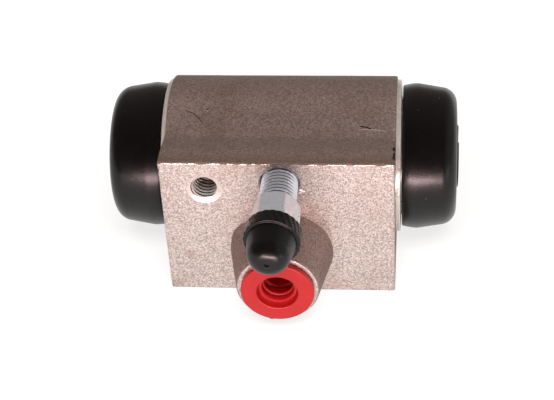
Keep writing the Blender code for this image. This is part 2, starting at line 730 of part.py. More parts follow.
def build():
    clear_scene()
    casting = make_material("blasted_aluminium", (0.47, 0.42, 0.39), 0.55, 1.0)
    rubber = make_material("black_rubber", (0.018, 0.017, 0.018), 0.42, 0.0)
    zinc = make_material("zinc_plated_steel", (0.62, 0.64, 0.67), 0.28, 1.0)
    red_plastic = make_material("red_polyethylene", (0.72, 0.03, 0.03), 0.35, 0.0)
    anodised = make_material("anodised_aluminium", (0.16, 0.15, 0.15), 0.4, 1.0)
    seal_rubber = make_material("seal_rubber", (0.03, 0.03, 0.032), 0.5, 0.0)
    spring_steel = make_material("spring_steel", (0.42, 0.41, 0.40), 0.32, 1.0)
    make_body(casting)
    for side, end in ((-1, "left"), (1, "right")):
        make_piston("piston_" + end, side, anodised)
        make_cup_seal("cup_seal_" + end, side, seal_rubber)
        make_expander("cup_expander_" + end, side, zinc)
        make_boot("dust_boot_" + end, side, rubber)
    make_spring(spring_steel)
    make_bleed_screw(zinc)
    make_bleed_cap(rubber)
    make_port_plug(red_plastic)


build()
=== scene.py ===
# Drum brake wheel cylinder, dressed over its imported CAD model
import json
import math

import bmesh
import bpy
from mathutils import Matrix, Vector, noise

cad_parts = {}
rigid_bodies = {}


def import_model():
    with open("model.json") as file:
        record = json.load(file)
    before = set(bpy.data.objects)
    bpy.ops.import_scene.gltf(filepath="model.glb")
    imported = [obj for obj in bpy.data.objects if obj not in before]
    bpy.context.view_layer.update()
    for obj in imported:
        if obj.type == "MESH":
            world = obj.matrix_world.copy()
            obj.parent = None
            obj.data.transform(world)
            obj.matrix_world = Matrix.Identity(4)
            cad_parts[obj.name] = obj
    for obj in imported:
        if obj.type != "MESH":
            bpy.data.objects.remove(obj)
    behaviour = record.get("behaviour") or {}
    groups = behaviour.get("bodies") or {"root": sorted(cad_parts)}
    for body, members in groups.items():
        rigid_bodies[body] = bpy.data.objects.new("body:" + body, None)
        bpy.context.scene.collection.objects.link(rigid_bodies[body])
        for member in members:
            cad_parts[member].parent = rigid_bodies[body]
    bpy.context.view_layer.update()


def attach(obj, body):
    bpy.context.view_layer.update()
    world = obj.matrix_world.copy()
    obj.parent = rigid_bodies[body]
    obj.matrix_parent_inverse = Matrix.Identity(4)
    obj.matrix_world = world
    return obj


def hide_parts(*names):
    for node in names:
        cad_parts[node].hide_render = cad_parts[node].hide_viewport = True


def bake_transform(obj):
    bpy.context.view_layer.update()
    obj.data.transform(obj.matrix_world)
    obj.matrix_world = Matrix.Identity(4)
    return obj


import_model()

# The body's frame in millimetres: the bore along X, the mounting face towards -Y, the base on Z zero
layout = {
    "axisHeight": 20.12,
    "faceDepth": 23.17,
    "inletX": 0.3,
    "inletHeight": 11.42,
    "bleedX": 0.7,
    "bleedHeight": 30.32,
}


def linear(code):
    channels = []
    for i in (1, 3, 5):
        value = int(code[i:i + 2], 16) / 255
        channels.append(value / 12.92 if value <= 0.04045 else ((value + 0.055) / 1.055) ** 2.4)
    return (*channels, 1.0)


# Gives a node its inputs, each a value or another node's output
def setInputs(item, node, inputs):
    for name, value in inputs.items():
        if isinstance(value, bpy.types.NodeSocket):
            item.node_tree.links.new(value, node.inputs[name])
        else:
            node.inputs[name].default_value = value


# Adds any node with its settings and inputs to a material or a world
def addNode(item, kind, inputs, **settings):
    node = item.node_tree.nodes.new(kind)
    for name, value in settings.items():
        setattr(node, name, value)
    setInputs(item, node, inputs)
    return node


def newMaterial(name):
    material = bpy.data.materials.new(name)
    material.use_nodes = True
    shader = material.node_tree.nodes["Principled BSDF"]
    place = addNode(material, "ShaderNodeTexCoord", {}).outputs["Object"]
    return material, shader, place


# Colour (or value) mix, used for every layer of dirt, stain, wear and painted shade
mixFactor, mixColourA, mixColourB, mixColourOut = 0, 6, 7, 2


def perMillimetre(size):
    return 1000 / size  # noise scale whose features are about this many millimetres


# The skin the mould leaves is a dull brown grey. Where the mounting face is milled and then blasted with
# beads, the same metal is a pale pinkish silver that sparkles like fine sand. The spots are stains, each a
# place in millimetres, a size and a strength
skinValues = {
    "name": "asCastAluminium",
    "light": "#A38E86",
    "dark": "#7B6A63",
    "pit": "#54443C",
    "stainAndShade": "#75604F",
    "edgeTint": "#B5B0AC",
    "spots": [(7.6, -27.0, 20.5, 1.6, 0.35), (14.5, -4.0, 37.5, 3.0, 0.3), (-17.0, -8.0, 36.0, 2.6, 0.3)],
    # Strength of the painted shade band that darkens the top towards the pad's front edge
    "edgeShade": 0.55,
    "grain": 0.3,
    "metallic": 0.4,
    "roughness": (0.42, 0.58),
}
faceValues = {
    "name": "beadBlastedAluminium",
    "light": "#ECE1DB",
    "dark": "#9F928C",
    "pit": "#6E5850",
    "stainAndShade": "#B49A8C",
    "edgeTint": "#E0DCD8",
    "spots": [(-19.9, -23.2, 10.5, 1.8, 0.5), (-11.9, -23.2, 16.2, 1.5, 0.45),
              (-22.2, -23.2, 16.3, 0.5, 0.6), (-11.2, -23.2, 7.1, 0.45, 0.6)],
    "edgeShade": 0.0,
    "grain": 0.24,
    "metallic": 1.0,
    "roughness": (0.28, 0.44),
}
stainAndShadeValues = {
    "broadSize": 9.0,
    "broadRange": (0.5, 0.74),
    "broadStrength": 0.4,
    "raggedSize": 0.9,
    "pitSpacing": 1.1,
    "pitRange": (0.13, 0.05),
    "pitStrength": 0.55,
    # Where the painted shade band on the top runs: from where to where across the pad, and above what height
    "edgeShadeRange": (-18.8, -22.6),
    "edgeShadeAbove": 34.0,
    "beadStrength": 0.25,
    "beadDepth": 0.1,
}


# How much stain and painted shade each point has: broad faint clouds, the listed spots with ragged edges, and
# a band of painted shade that darkens the top towards the pad's front edge. The strongest of them counts
def stainAndShadeMask(material, values, place):
    shared = stainAndShadeValues
    low, high = shared["broadRange"]
    broad = addNode(material, "ShaderNodeTexNoise",
                    {"Vector": place, "Scale": perMillimetre(shared["broadSize"]), "Detail": 3.0})
    masks = [addNode(material, "ShaderNodeMapRange", {"Value": broad.outputs["Fac"], "From Min": low,
                                                      "From Max": high, "To Max": shared["broadStrength"]})]
    ragged = addNode(material, "ShaderNodeTexNoise",
                     {"Vector": place, "Scale": perMillimetre(shared["raggedSize"]), "Detail": 3.0})
    for x, y, z, size, strength in values["spots"]:
        away = addNode(material, "ShaderNodeVectorMath", {0: place, 1: (x / 1000, y / 1000, z / 1000)},
                       operation="DISTANCE")
        near = addNode(material, "ShaderNodeMapRange", {"Value": away.outputs["Value"],
                                                        "From Min": size / 1000, "From Max": 0.0,
                                                        "To Max": 2 * strength})
        masks.append(addNode(material, "ShaderNodeMath", {0: near.outputs[0], 1: ragged.outputs["Fac"]},
                             operation="MULTIPLY"))
    # Painted shade: a band on the top that darkens towards the pad's front edge
    if values["edgeShade"]:
        start, end = shared["edgeShadeRange"]
        split = addNode(material, "ShaderNodeSeparateXYZ", {"Vector": place})
        front = addNode(material, "ShaderNodeMapRange", {"Value": split.outputs["Y"],
                                                         "From Min": start / 1000, "From Max": end / 1000,
                                                         "To Max": values["edgeShade"]})
        above = addNode(material, "ShaderNodeMath", {0: split.outputs["Z"], 1: shared["edgeShadeAbove"] / 1000},
                        operation="GREATER_THAN")
        masks.append(addNode(material, "ShaderNodeMath", {0: front.outputs[0], 1: above.outputs[0]},
                             operation="MULTIPLY"))
    strongest = masks[0]
    for mask in masks[1:]:
        strongest = addNode(material, "ShaderNodeMath", {0: strongest.outputs[0], 1: mask.outputs[0]},
                            operation="MAXIMUM")
    return strongest.outputs[0]


def blastedMaterial(values):
    shared = stainAndShadeValues
    material, shader, place = newMaterial(values["name"])
    bead = addNode(material, "ShaderNodeTexVoronoi",
                   {"Vector": place, "Scale": perMillimetre(values["grain"])})
    beadTone = addNode(material, "ShaderNodeSeparateColor", {"Color": bead.outputs["Color"]})
    speck = addNode(material, "ShaderNodeTexVoronoi",
                    {"Vector": place, "Scale": perMillimetre(shared["pitSpacing"])})
    base = addNode(material, "ShaderNodeMix",
                   {mixFactor: beadTone.outputs["Red"], mixColourA: linear(values["dark"]),
                    mixColourB: linear(values["light"])}, data_type="RGBA")
    stainedAndShaded = addNode(material, "ShaderNodeMix",
                      {mixFactor: stainAndShadeMask(material, values, place),
                       mixColourA: base.outputs[mixColourOut],
                       mixColourB: linear(values["stainAndShade"])}, data_type="RGBA")
    start, end = shared["pitRange"]
    pitMask = addNode(material, "ShaderNodeMapRange",
                      {"Value": speck.outputs["Distance"], "From Min": start, "From Max": end,
                       "To Max": shared["pitStrength"]})
    pitted = addNode(material, "ShaderNodeMix",
                     {mixFactor: pitMask.outputs["Result"], mixColourA: stainedAndShaded.outputs[mixColourOut],
                      mixColourB: linear(values["pit"])}, data_type="RGBA")
    smooth, coarse = values["roughness"]
    rough = addNode(material, "ShaderNodeMapRange",
                    {"Value": beadTone.outputs["Green"], "To Min": smooth, "To Max": coarse})
    bump = addNode(material, "ShaderNodeBump",
                   {"Height": bead.outputs["Distance"], "Strength": shared["beadStrength"],
                    "Distance": shared["beadDepth"] / 1000})
    setInputs(material, shader, {"Base Color": pitted.outputs[mixColourOut],
                                 "Roughness": rough.outputs["Result"], "Normal": bump.outputs["Normal"],
                                 "Metallic": values["metallic"],
                                 "Specular Tint": linear(values["edgeTint"])})
    return material


# Tone and sheen that wander together with one cloud of noise, as on most cut, plated or moulded surfaces
def cloudyFinish(material, shader, values, cloud):
    first, last = values["roughness"]
    tone = addNode(material, "ShaderNodeMix",
                   {mixFactor: cloud.outputs["Fac"], mixColourA: linear(values["dark"]),
                    mixColourB: linear(values["light"])}, data_type="RGBA")
    rough = addNode(material, "ShaderNodeMapRange",
                    {"Value": cloud.outputs["Fac"], "From Min": 0.3, "From Max": 0.7, "To Min": first,
                     "To Max": last})
    setInputs(material, shader, {"Base Color": tone.outputs[mixColourOut],
                                 "Roughness": rough.outputs["Result"]})


# The same aluminium where a tool has cut it: brighter, with fine rings on the turned collars, and smooth
# and shiny in the tapped holes
turnedValues = {
    "name": "turnedAluminium",
    "light": "#FFFAF4",
    "dark": "#DAD2C9",
    "roughness": (0.26, 0.4),
    "metallic": 0.65,
    "smearSize": 1.6,
    "toolMark": 0.12,
    "markStretch": 0.06,
    "markStrength": 0.6,
    "markDepth": 0.1,
}
tappedValues = {
    **turnedValues,
    "name": "tappedAluminium",
    "light": "#E6E0DA",
    "dark": "#C2BBB4",
    "roughness": (0.24, 0.36),
    "metallic": 0.35,
    "toolMark": 0.3,
    "markDepth": 0.01,
}


def cutMaterial(values):
    material, shader, place = newMaterial(values["name"])
    smear = addNode(material, "ShaderNodeTexNoise",
                    {"Vector": place, "Scale": perMillimetre(values["smearSize"]), "Detail": 4.0})
    stretched = addNode(material, "ShaderNodeMapping",
                        {"Vector": place, "Scale": (1.0, values["markStretch"], values["markStretch"])})
    marks = addNode(material, "ShaderNodeTexNoise",
                    {"Vector": stretched.outputs["Vector"], "Scale": perMillimetre(values["toolMark"]),
                     "Detail": 1.0})
    bump = addNode(material, "ShaderNodeBump",
                   {"Height": marks.outputs["Fac"], "Strength": values["markStrength"],
                    "Distance": values["markDepth"] / 1000})
    cloudyFinish(material, shader, values, smear)
    setInputs(material, shader, {"Normal": bump.outputs["Normal"], "Metallic": values["metallic"]})
    return material


rubberValues = {
    "tone": "#060505",
    "bloom": "#0F0D0C",
    "speck": "#8F8883",
    "roughness": (0.24, 0.32),
    "cloudSize": 7.0,
    "bloomRange": (0.5, 0.8),
    "bloomStrength": 0.3,
    "skinSize": 0.5,
    "skinStrength": 0.12,
    "skinDepth": 0.06,
    "dustSpacing": 2.6,
    "dustRange": (0.055, 0.03),
    "dustStrength": 0.5,
}


# Compression moulded rubber: black with a satin skin, a faint grey bloom and a few light specks of dust
def mouldedRubber():
    values = rubberValues
    material, shader, place = newMaterial("mouldedBlackRubber")
    cloud = addNode(material, "ShaderNodeTexNoise",
                    {"Vector": place, "Scale": perMillimetre(values["cloudSize"]), "Detail": 5.0})
    skin = addNode(material, "ShaderNodeTexNoise",
                   {"Vector": place, "Scale": perMillimetre(values["skinSize"]), "Detail": 2.0})
    dust = addNode(material, "ShaderNodeTexVoronoi",
                   {"Vector": place, "Scale": perMillimetre(values["dustSpacing"])})
    low, high = values["bloomRange"]
    bloomMask = addNode(material, "ShaderNodeMapRange",
                        {"Value": cloud.outputs["Fac"], "From Min": low, "From Max": high,
                         "To Max": values["bloomStrength"]})
    bloomed = addNode(material, "ShaderNodeMix",
                      {mixFactor: bloomMask.outputs["Result"], mixColourA: linear(values["tone"]),
                       mixColourB: linear(values["bloom"])}, data_type="RGBA")
    low, high = values["dustRange"]
    dustMask = addNode(material, "ShaderNodeMapRange",
                       {"Value": dust.outputs["Distance"], "From Min": low, "From Max": high,
                        "To Max": values["dustStrength"]})
    dusty = addNode(material, "ShaderNodeMix",
                    {mixFactor: dustMask.outputs["Result"], mixColourA: bloomed.outputs[mixColourOut],
                     mixColourB: linear(values["speck"])}, data_type="RGBA")
    smooth, coarse = values["roughness"]
    rough = addNode(material, "ShaderNodeMapRange",
                    {"Value": cloud.outputs["Fac"], "From Min": 0.3, "From Max": 0.7, "To Min": smooth,
                     "To Max": coarse})
    bump = addNode(material, "ShaderNodeBump",
                   {"Height": skin.outputs["Fac"], "Strength": values["skinStrength"],
                    "Distance": values["skinDepth"] / 1000})
    setInputs(material, shader, {"Base Color": dusty.outputs[mixColourOut],
                                 "Roughness": rough.outputs["Result"], "Normal": bump.outputs["Normal"],
                                 "IOR": 1.42})
    return material


zincValues = {"light": "#F0F3FA", "dark": "#D2D6DE", "roughness": (0.4, 0.26), "metallic": 0.65,
              "cloudSize": 1.2}


# Bright zinc plate on turned steel: a cool silver that is cloudy rather than mirror bright
def zincPlatedSteel():
    values = zincValues
    material, shader, place = newMaterial("zincPlatedSteel")
    cloud = addNode(material, "ShaderNodeTexNoise",
                    {"Vector": place, "Scale": perMillimetre(values["cloudSize"]), "Detail": 4.0})
    cloudyFinish(material, shader, values, cloud)
    shader.inputs["Metallic"].default_value = values["metallic"]
    return material


plasticValues = {"light": "#B2181B", "dark": "#A51316", "roughness": (0.3, 0.42), "flowSize": 3.0,
                 "flowStrength": 0.1, "flowDepth": 0.2}


# Injection moulded polyethylene in bright red: waxy, with faint flow marks
def mouldedPolyethylene():
    values = plasticValues
    material, shader, place = newMaterial("mouldedRedPolyethylene")
    flow = addNode(material, "ShaderNodeTexNoise",
                   {"Vector": place, "Scale": perMillimetre(values["flowSize"]), "Detail": 3.0})
    bump = addNode(material, "ShaderNodeBump",
                   {"Height": flow.outputs["Fac"], "Strength": values["flowStrength"],
                    "Distance": values["flowDepth"] / 1000})
    cloudyFinish(material, shader, values, flow)
    setInputs(material, shader, {"Normal": bump.outputs["Normal"], "IOR": 1.51})
    return material


# Plainer surfaces, each from one tone and a fine grain: what hides inside the bore, a near-black painted
# shade with some soot and oil in cut pits, scratches and the roots of tapped threads, and a darker zinc
# painted as shade with some dirt between a screw's crests
plainValues = {
    # Near-black painted shade, with some dirt, for cut pits, scratches and the roots of tapped threads
    "shadeAndDirtAluminium":
        {"dark": "#17110F", "light": "#2C2320", "metallic": 0.0, "roughness": 0.6, "grain": 0.3},
    # Darker zinc: painted shade, with some dirt, in the bleed screw's thread roots
    "shadeAndDirtZinc":
        {"dark": "#4A4A4C", "light": "#6A6A6D", "metallic": 0.5, "roughness": 0.4, "grain": 0.3},
    "anodisedAluminium":
        {"dark": "#191716", "light": "#262322", "metallic": 1.0, "roughness": 0.4, "grain": 0.3},
    "mouldedNitrileRubber":
        {"dark": "#1D1D1E", "light": "#2A2A2B", "metallic": 0.0, "roughness": 0.5, "grain": 0.6},
    "drawnSpringSteel":
        {"dark": "#77736E", "light": "#9A958F", "metallic": 1.0, "roughness": 0.32, "grain": 0.4},
}


def plainMaterial(name):
    values = plainValues[name]
    material, shader, place = newMaterial(name)
    grain = addNode(material, "ShaderNodeTexNoise",
                    {"Vector": place, "Scale": perMillimetre(values["grain"]), "Detail": 3.0})
    tone = addNode(material, "ShaderNodeMix",
                   {mixFactor: grain.outputs["Fac"], mixColourA: linear(values["dark"]),
                    mixColourB: linear(values["light"])}, data_type="RGBA")
    bump = addNode(material, "ShaderNodeBump",
                   {"Height": grain.outputs["Fac"], "Strength": 0.1, "Distance": 0.00005})
    setInputs(material, shader, {"Base Color": tone.outputs[mixColourOut],
                                 "Normal": bump.outputs["Normal"], "Roughness": values["roughness"],
                                 "Metallic": values["metallic"]})
    return material


skin = blastedMaterial(skinValues)
blasted = blastedMaterial(faceValues)
turned = cutMaterial(turnedValues)
tapped = cutMaterial(tappedValues)
hollowShadeAndDirt = plainMaterial("shadeAndDirtAluminium")
rubber = mouldedRubber()
zinc = zincPlatedSteel()
rootShadeAndDirt = plainMaterial("shadeAndDirtZinc")
redPlastic = mouldedPolyethylene()
anodised = plainMaterial("anodisedAluminium")
sealRubber = plainMaterial("mouldedNitrileRubber")
springSteel = plainMaterial("drawnSpringSteel")
print("materials made")


# Shapes are in millimetres until an object is made
def arc(centre, radius, start, end, steps):
    points = []
    for i in range(steps + 1):
        angle = math.radians(start + (end - start) * i / steps)
        points.append((centre[0] + radius * math.cos(angle), centre[1] + radius * math.sin(angle)))
    return points


# Spins (radius, height) points about Z. A profile from axis to axis closes by itself, and any other is
# joined into a ring. reshape may change a point's radius and height for each angle
def spun(profile, steps, reshape=None, slot=0):
    shape = bmesh.new()
    rows = []
    for radius, height in profile:
        if radius < 1e-6:
            rows.append([shape.verts.new((0, 0, height))])
            continue
        row = []
        for i in range(steps):
            angle = math.tau * i / steps
            r, h = reshape(radius, height, angle) if reshape else (radius, height)
            row.append(shape.verts.new((r * math.cos(angle), r * math.sin(angle), h)))
        rows.append(row)
    closed = profile[0][0] > 1e-6
    pairs = list(zip(rows, rows[1:])) + ([(rows[-1], rows[0])] if closed else [])
    for low, high in pairs:
        for i in range(steps):
            j = (i + 1) % steps
            corners = [low[i % len(low)], low[j % len(low)], high[j % len(high)], high[i % len(high)]]
            ring = list(dict.fromkeys(corners))
            if len(ring) > 2:
                shape.faces.new(ring).material_index = slot
    return shape


# Joins equal rings of points into a tube with two flat ends. Each side may have its own material slot
def tube(shape, rows, slots, endSlot):
    count = len(rows[0])
    for low, high in zip(rows, rows[1:]):
        for i in range(count):
            j = (i + 1) % count
            shape.faces.new((low[i], low[j], high[j], high[i])).material_index = slots[i % len(slots)]
    for row in (rows[0], rows[-1]):
        shape.faces.new(row).material_index = endSlot


def alongBore(side):
    return Matrix.Translation((0, 0, layout["axisHeight"])) @ Matrix.Rotation(side * math.pi / 2, 4, "Y")


def onFace(x, height, out=0.0):
    return Matrix.Translation((x, -layout["faceDepth"] - out, height)) @ Matrix.Rotation(math.pi / 2, 4, "X")


def makeObject(name, shape, materials, matrix=Matrix(), sharp=32):
    bmesh.ops.recalc_face_normals(shape, faces=shape.faces)
    bmesh.ops.transform(shape, matrix=Matrix.Scale(0.001, 4) @ matrix, verts=shape.verts)
    mesh = bpy.data.meshes.new(name)
    shape.to_mesh(mesh)
    shape.free()
    for material in materials:
        mesh.materials.append(material)
    mesh.shade_smooth()
    mesh.set_sharp_from_angle(angle=math.radians(sharp))
    item = bpy.data.objects.new(name, mesh)
    bpy.context.scene.collection.objects.link(item)
    return item


# Joins, cuts or keeps what is shared, and then deletes the tool
def carve(item, tools, operation, sharp=32):
    for tool in tools:
        modifier = item.modifiers.new(tool.name, "BOOLEAN")
        modifier.operation = operation
        modifier.solver = "EXACT"
        modifier.object = tool
    depsgraph = bpy.context.evaluated_depsgraph_get()
    mesh = bpy.data.meshes.new_from_object(item.evaluated_get(depsgraph))
    item.modifiers.clear()
    item.data = mesh
    for tool in tools:
        bpy.data.objects.remove(tool, do_unlink=True)
    mesh.shade_smooth()
    mesh.set_sharp_from_angle(angle=math.radians(sharp))
    return item


def dress(item, body, node):
    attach(item, body)
    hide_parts(node)


# A thread's height over one pitch: full over the crest, nothing at the root, and a little less than
# nothing where it runs out
threadForm = {"top": 1.4, "fall": 3.3, "runOut": -0.3}


def threadWave(share):
    return threadForm["top"] - threadForm["fall"] * abs(share - 0.5)


# A screw's outer surface as a closed body. Its rows follow the helix, so crests and roots stay crisp.
# Between the two ends it runs at full depth, and fade sets how many millimetres it takes to get there.
# Faces whose wave lies within the shaded range have the second slot
def threaded(crest, depth, pitch, start, end, fade, samples, steps, slots, shaded):
    shape = bmesh.new()
    turns = math.ceil((end - start) / pitch)
    tones = []
    for k in range(samples):
        inRange = shaded[0] < threadWave((k + 0.5) / samples) < shaded[1]
        tones.append(slots[1] if inRange else slots[0])
    columns = []
    for i in range(steps):
        angle = math.tau * i / steps
        column = []
        for k in range(turns * samples + 1):
            height = start + pitch * (k / samples + i / steps)
            wave = min(max(threadWave(k / samples % 1.0), 0.0), 1.0)
            if fade:
                wave = min(wave, (height - start) / fade - 1.0, (end - height) / fade)
            radius = crest - depth * (1.0 - max(wave, threadForm["runOut"]))
            column.append(shape.verts.new((radius * math.cos(angle), radius * math.sin(angle), height)))
        columns.append(column)

    def stitch(low, high, count):
        for k in range(count):
            face = shape.faces.new((low[k], high[k], high[k + 1], low[k + 1]))
            face.material_index = tones[k % samples]

    for low, high in zip(columns, columns[1:]):
        stitch(low, high, turns * samples)
    stitch(columns[-1], columns[0][samples:], (turns - 1) * samples)
    bottom = [column[0] for column in columns] + columns[0][samples:0:-1]
    top = [column[-1] for column in columns] + columns[-1][-1 - samples:-1][::-1]
    for ring, height in ((bottom, start - pitch / 2), (top, start + (turns + 1.5) * pitch)):
        middle = shape.verts.new((0, 0, height))
        for a, b in zip(ring, ring[1:] + ring[:1]):
            shape.faces.new((a, b, middle)).material_index = slots[0]
    return shape


def heights(start, end, step):
    count = max(1, round((end - start) / step))
    return [start + (end - start) * i / count for i in range(count + 1)]


bodyValues = {
    "length": 50.0,
    "backRadius": 17.83,
    "padDrop": 1.94,
    "baseReach": 8.0,
    "padLip": 4.2,
    "padSlope": 14.0,
    "crease": 4.0,
    "foot": 1.0,
    "edge": 0.35,
    "sliceStep": 0.7,
    "rowStep": 1.2,
    "support": 0.1,
    "endRound": [(0.0, 0.26), (0.07, 0.1), (0.2, 0.02)],
    "endLength": 0.4,
    "wander": 0.03,
    "wanderSize": 6.0,
    "burr": 0.16,
    "burrSize": 1.1,
    "burrShift": 0.05,
    "chip": 0.28,
    "chipSize": 1.1,
    "chipFrom": 0.12,
    "collarLength": 1.0,
    "collarRadius": 17.03,
    "collarEdge": 0.15,
    "sunk": 9.0,
    "boreRadius": 11.1,
    "boreChamfer": 0.6,
    "spigotRadius": 13.2,
    "spigotLength": 4.5,
    "spigotEdge": 0.3,
    "grooveDepth": 0.8,
    "grooveWidth": 1.6,
    "grooveStart": 1.3,
    "bossBase": 11.26,
    "bossTip": 8.85,
    "bossLength": 11.9,
    "bossSunk": 3.0,
    "bossEdge": 0.3,
    "bossCorner": 0.4,
    "bossCornerTurn": 150.7,
    "bossCornerWidth": 18.0,
    "portMajor": 5.05,
    "portDepth": 13.0,
    "portThread": 0.6,
    "portSink": 0.85,
    "passageDepth": 17.6,
    "passageRadius": 1.5,
    "threadPitch": 1.0,
    "threadFlat": 0.03,
    "chatter": 0.06,
    "chatterTurns": (9, 2.3),
    "screwX": -15.46,
    "screwHeight": 28.76,
    "screwMajor": 3.05,
    "screwThread": 0.45,
    "screwDepth": 11.5,
    "sinkRadius": 3.9,
    "sinkDepth": 0.52,
    "sinkRim": 0.24,
    "bleedHole": 4.2,
    "bleedMouth": 4.4,
    "bleedMouthDepth": 0.7,
    "bleedMouthEdge": 0.15,
    "bleedPassageDepth": 21.9,
    "bleedPassageRadius": 1.25,
    "bleedDepth": 7.8,
    "bleedCone": 1.8,
}


# The fifth slot is a near-black painted shade with some dirt, for cut pits, scratches and thread roots
bodyMaterials = [skin, turned, blasted, tapped, hollowShadeAndDirt]


def bodyOutline():
    values = bodyValues
    radius, crease, edge, foot = values["backRadius"], values["crease"], values["edge"], values["foot"]
    step, support = values["rowStep"], values["support"]
    front, base = -layout["faceDepth"], -layout["axisHeight"]
    padTop = radius - values["padDrop"]
    slope = math.radians(values["padSlope"])
    lip = Vector((front + values["padLip"], padTop))
    down = Vector((math.cos(slope), -math.sin(slope)))
    hollow = lip + crease * Vector((math.sin(slope), math.cos(slope)))
    along = hollow.dot(down)
    hollow += down * (-along - math.sqrt(along ** 2 - hollow.length_squared + (radius + crease) ** 2))
    creaseAngle = math.degrees(math.atan2(hollow.y, hollow.x))
    slopeEnd = hollow - crease * Vector((math.sin(slope), math.cos(slope)))
    footAngle = math.degrees(math.atan2(base, values["baseReach"]))
    tangent = footAngle + math.degrees(math.acos(radius / math.hypot(values["baseReach"], base)))
    inset = foot / math.tan(math.pi / 2 - math.radians((tangent + 90) / 2))
    points = arc((front + edge, base + edge), edge, 270, 180, 4)
    points += [(front, base + edge + support)]
    points += [(front, z) for z in heights(base + edge, padTop - edge, step)[1:-1]]
    points += [(front, padTop - edge - support)]
    points += arc((front + edge, padTop - edge), edge, 180, 90, 5)
    points += [(front + edge + support, padTop)]
    points += [(y, padTop) for y in heights(front + edge, lip.x, step)[1:]]
    points += [tuple(lip.lerp(slopeEnd, i / 4)) for i in range(1, 4)]
    points += arc(hollow, crease, -90 - values["padSlope"], creaseAngle - 180, 8)
    points += arc((0, 0), radius, creaseAngle, tangent, 72)[1:]
    points += arc((values["baseReach"] - inset, base + foot), foot, tangent, -90, 5)
    points += [(y, base) for y in heights(values["baseReach"] - inset, front + edge, step)[1:-1]]
    return points


def outlineNormals(points):
    normals = []
    for before, after in zip(points[-1:] + points[:-1], points[1:] + points[:1]):
        run = Vector((after[0] - before[0], after[1] - before[1])).normalized()
        normals.append((-run.y, run.x))
    return normals


# The block is a stack of slices along the bore, so that its long edges can wander as cast edges do. The
# edge over the mounting face has a beaded burr, and the two ends have small chips
def blockShape():
    values = bodyValues
    outline = bodyOutline()
    normals = outlineNormals(outline)
    half, endLength, front = values["length"] / 2, values["endLength"], -layout["faceDepth"]
    ends = [(half - back, inset) for back, inset in values["endRound"]]
    slices = [(-x, inset) for x, inset in ends]
    slices += [(x, 0.0) for x in heights(-half + endLength, half - endLength, values["sliceStep"])]
    slices += reversed(ends)
    size, burrSize, chipSize = values["wanderSize"], values["burrSize"], values["chipSize"]
    shape = bmesh.new()
    rows = []
    for x, inset in slices:
        row = []
        for (y, z), (ny, nz) in zip(outline, normals):
            shift = values["wander"] * noise.noise(Vector((x / size, y / size, z / size))) - inset
            if y < front + values["edge"] and z > 0 and abs(ny) < 0.99 and abs(nz) < 0.99:
                bead = noise.noise(Vector((x / burrSize, 7.1, z / 2)))
                shift += values["burr"] * bead - values["burrShift"]
            if inset > 0.05:
                loss = noise.noise(Vector((x, y / chipSize, z / chipSize))) - values["chipFrom"]
                shift -= values["chip"] * max(0.0, loss)
            row.append(shape.verts.new((x, y + ny * shift, layout["axisHeight"] + z + nz * shift)))
        rows.append(row)
    onMountingFace = [max(a[0], b[0]) < front + 0.04 for a, b in zip(outline, outline[1:] + outline[:1])]
    tube(shape, rows, [2 if blastedSide else 0 for blastedSide in onMountingFace], 0)
    return shape


def turnedEnd(side):
    values = bodyValues
    half = values["length"] / 2
    face = half + values["collarLength"]
    groove = face + values["grooveStart"]
    grooveEnd = groove + values["grooveWidth"]
    bottom = values["spigotRadius"] - values["grooveDepth"]
    end = face + values["spigotLength"]
    collar, collarEdge = values["collarRadius"], values["collarEdge"]
    spigot, edge = values["spigotRadius"], values["spigotEdge"]
    back = half - values["sunk"]
    profile = [(0, back), (collar, back), (collar, face - collarEdge), (collar - collarEdge, face),
               (spigot, face), (spigot, groove), (bottom, groove), (bottom, grooveEnd), (spigot, grooveEnd),
               (spigot, end - edge), (spigot - edge, end), (0, end)]
    return makeObject("turnedEnd", spun(profile, 128, slot=1), bodyMaterials, alongBore(side))


# The boss has one soft corner on its upper left, which fades out towards the tip
def bossShape():
    values = bodyValues
    length, base, tip, edge = values["bossLength"], values["bossBase"], values["bossTip"], values["bossEdge"]

    def reshape(radius, height, angle):
        away = abs(math.degrees(angle) - values["bossCornerTurn"]) / values["bossCornerWidth"]
        share = 1 - min(max(height / length, 0.0), 1.0)
        if radius > tip - 0.2:
            radius += max(0.0, 1 - away) * values["bossCorner"] * share
        return radius, height

    profile = [(0, -values["bossSunk"]), (base, -values["bossSunk"])]
    for height in heights(0, length - edge - 0.05, values["rowStep"]):
        profile.append((base + (tip - base) * height / length, height))
    profile += arc((tip - edge, length - edge), edge, 10, 90, 4)
    profile += [(0, length)]
    shape = spun(profile, 120, reshape)
    for face in shape.faces:  # the tip is faced off and blasted, as the mounting face is
        if all(vert.co.z > length - 0.02 for vert in face.verts):
            face.material_index = 2
    return makeObject("boss", shape, bodyMaterials, onFace(layout["inletX"], layout["inletHeight"]))


def boreTool():
    values = bodyValues
    end = values["length"] / 2 + values["collarLength"] + values["spigotLength"]
    radius, chamfer = values["boreRadius"], values["boreChamfer"]
    profile = [(0, -end - 1), (radius + chamfer + 1, -end - 1), (radius, -end + chamfer),
               (radius, end - chamfer), (radius + chamfer + 1, end + 1), (0, end + 1)]
    return makeObject("bore", spun(profile, 112, slot=1), bodyMaterials, alongBore(1))


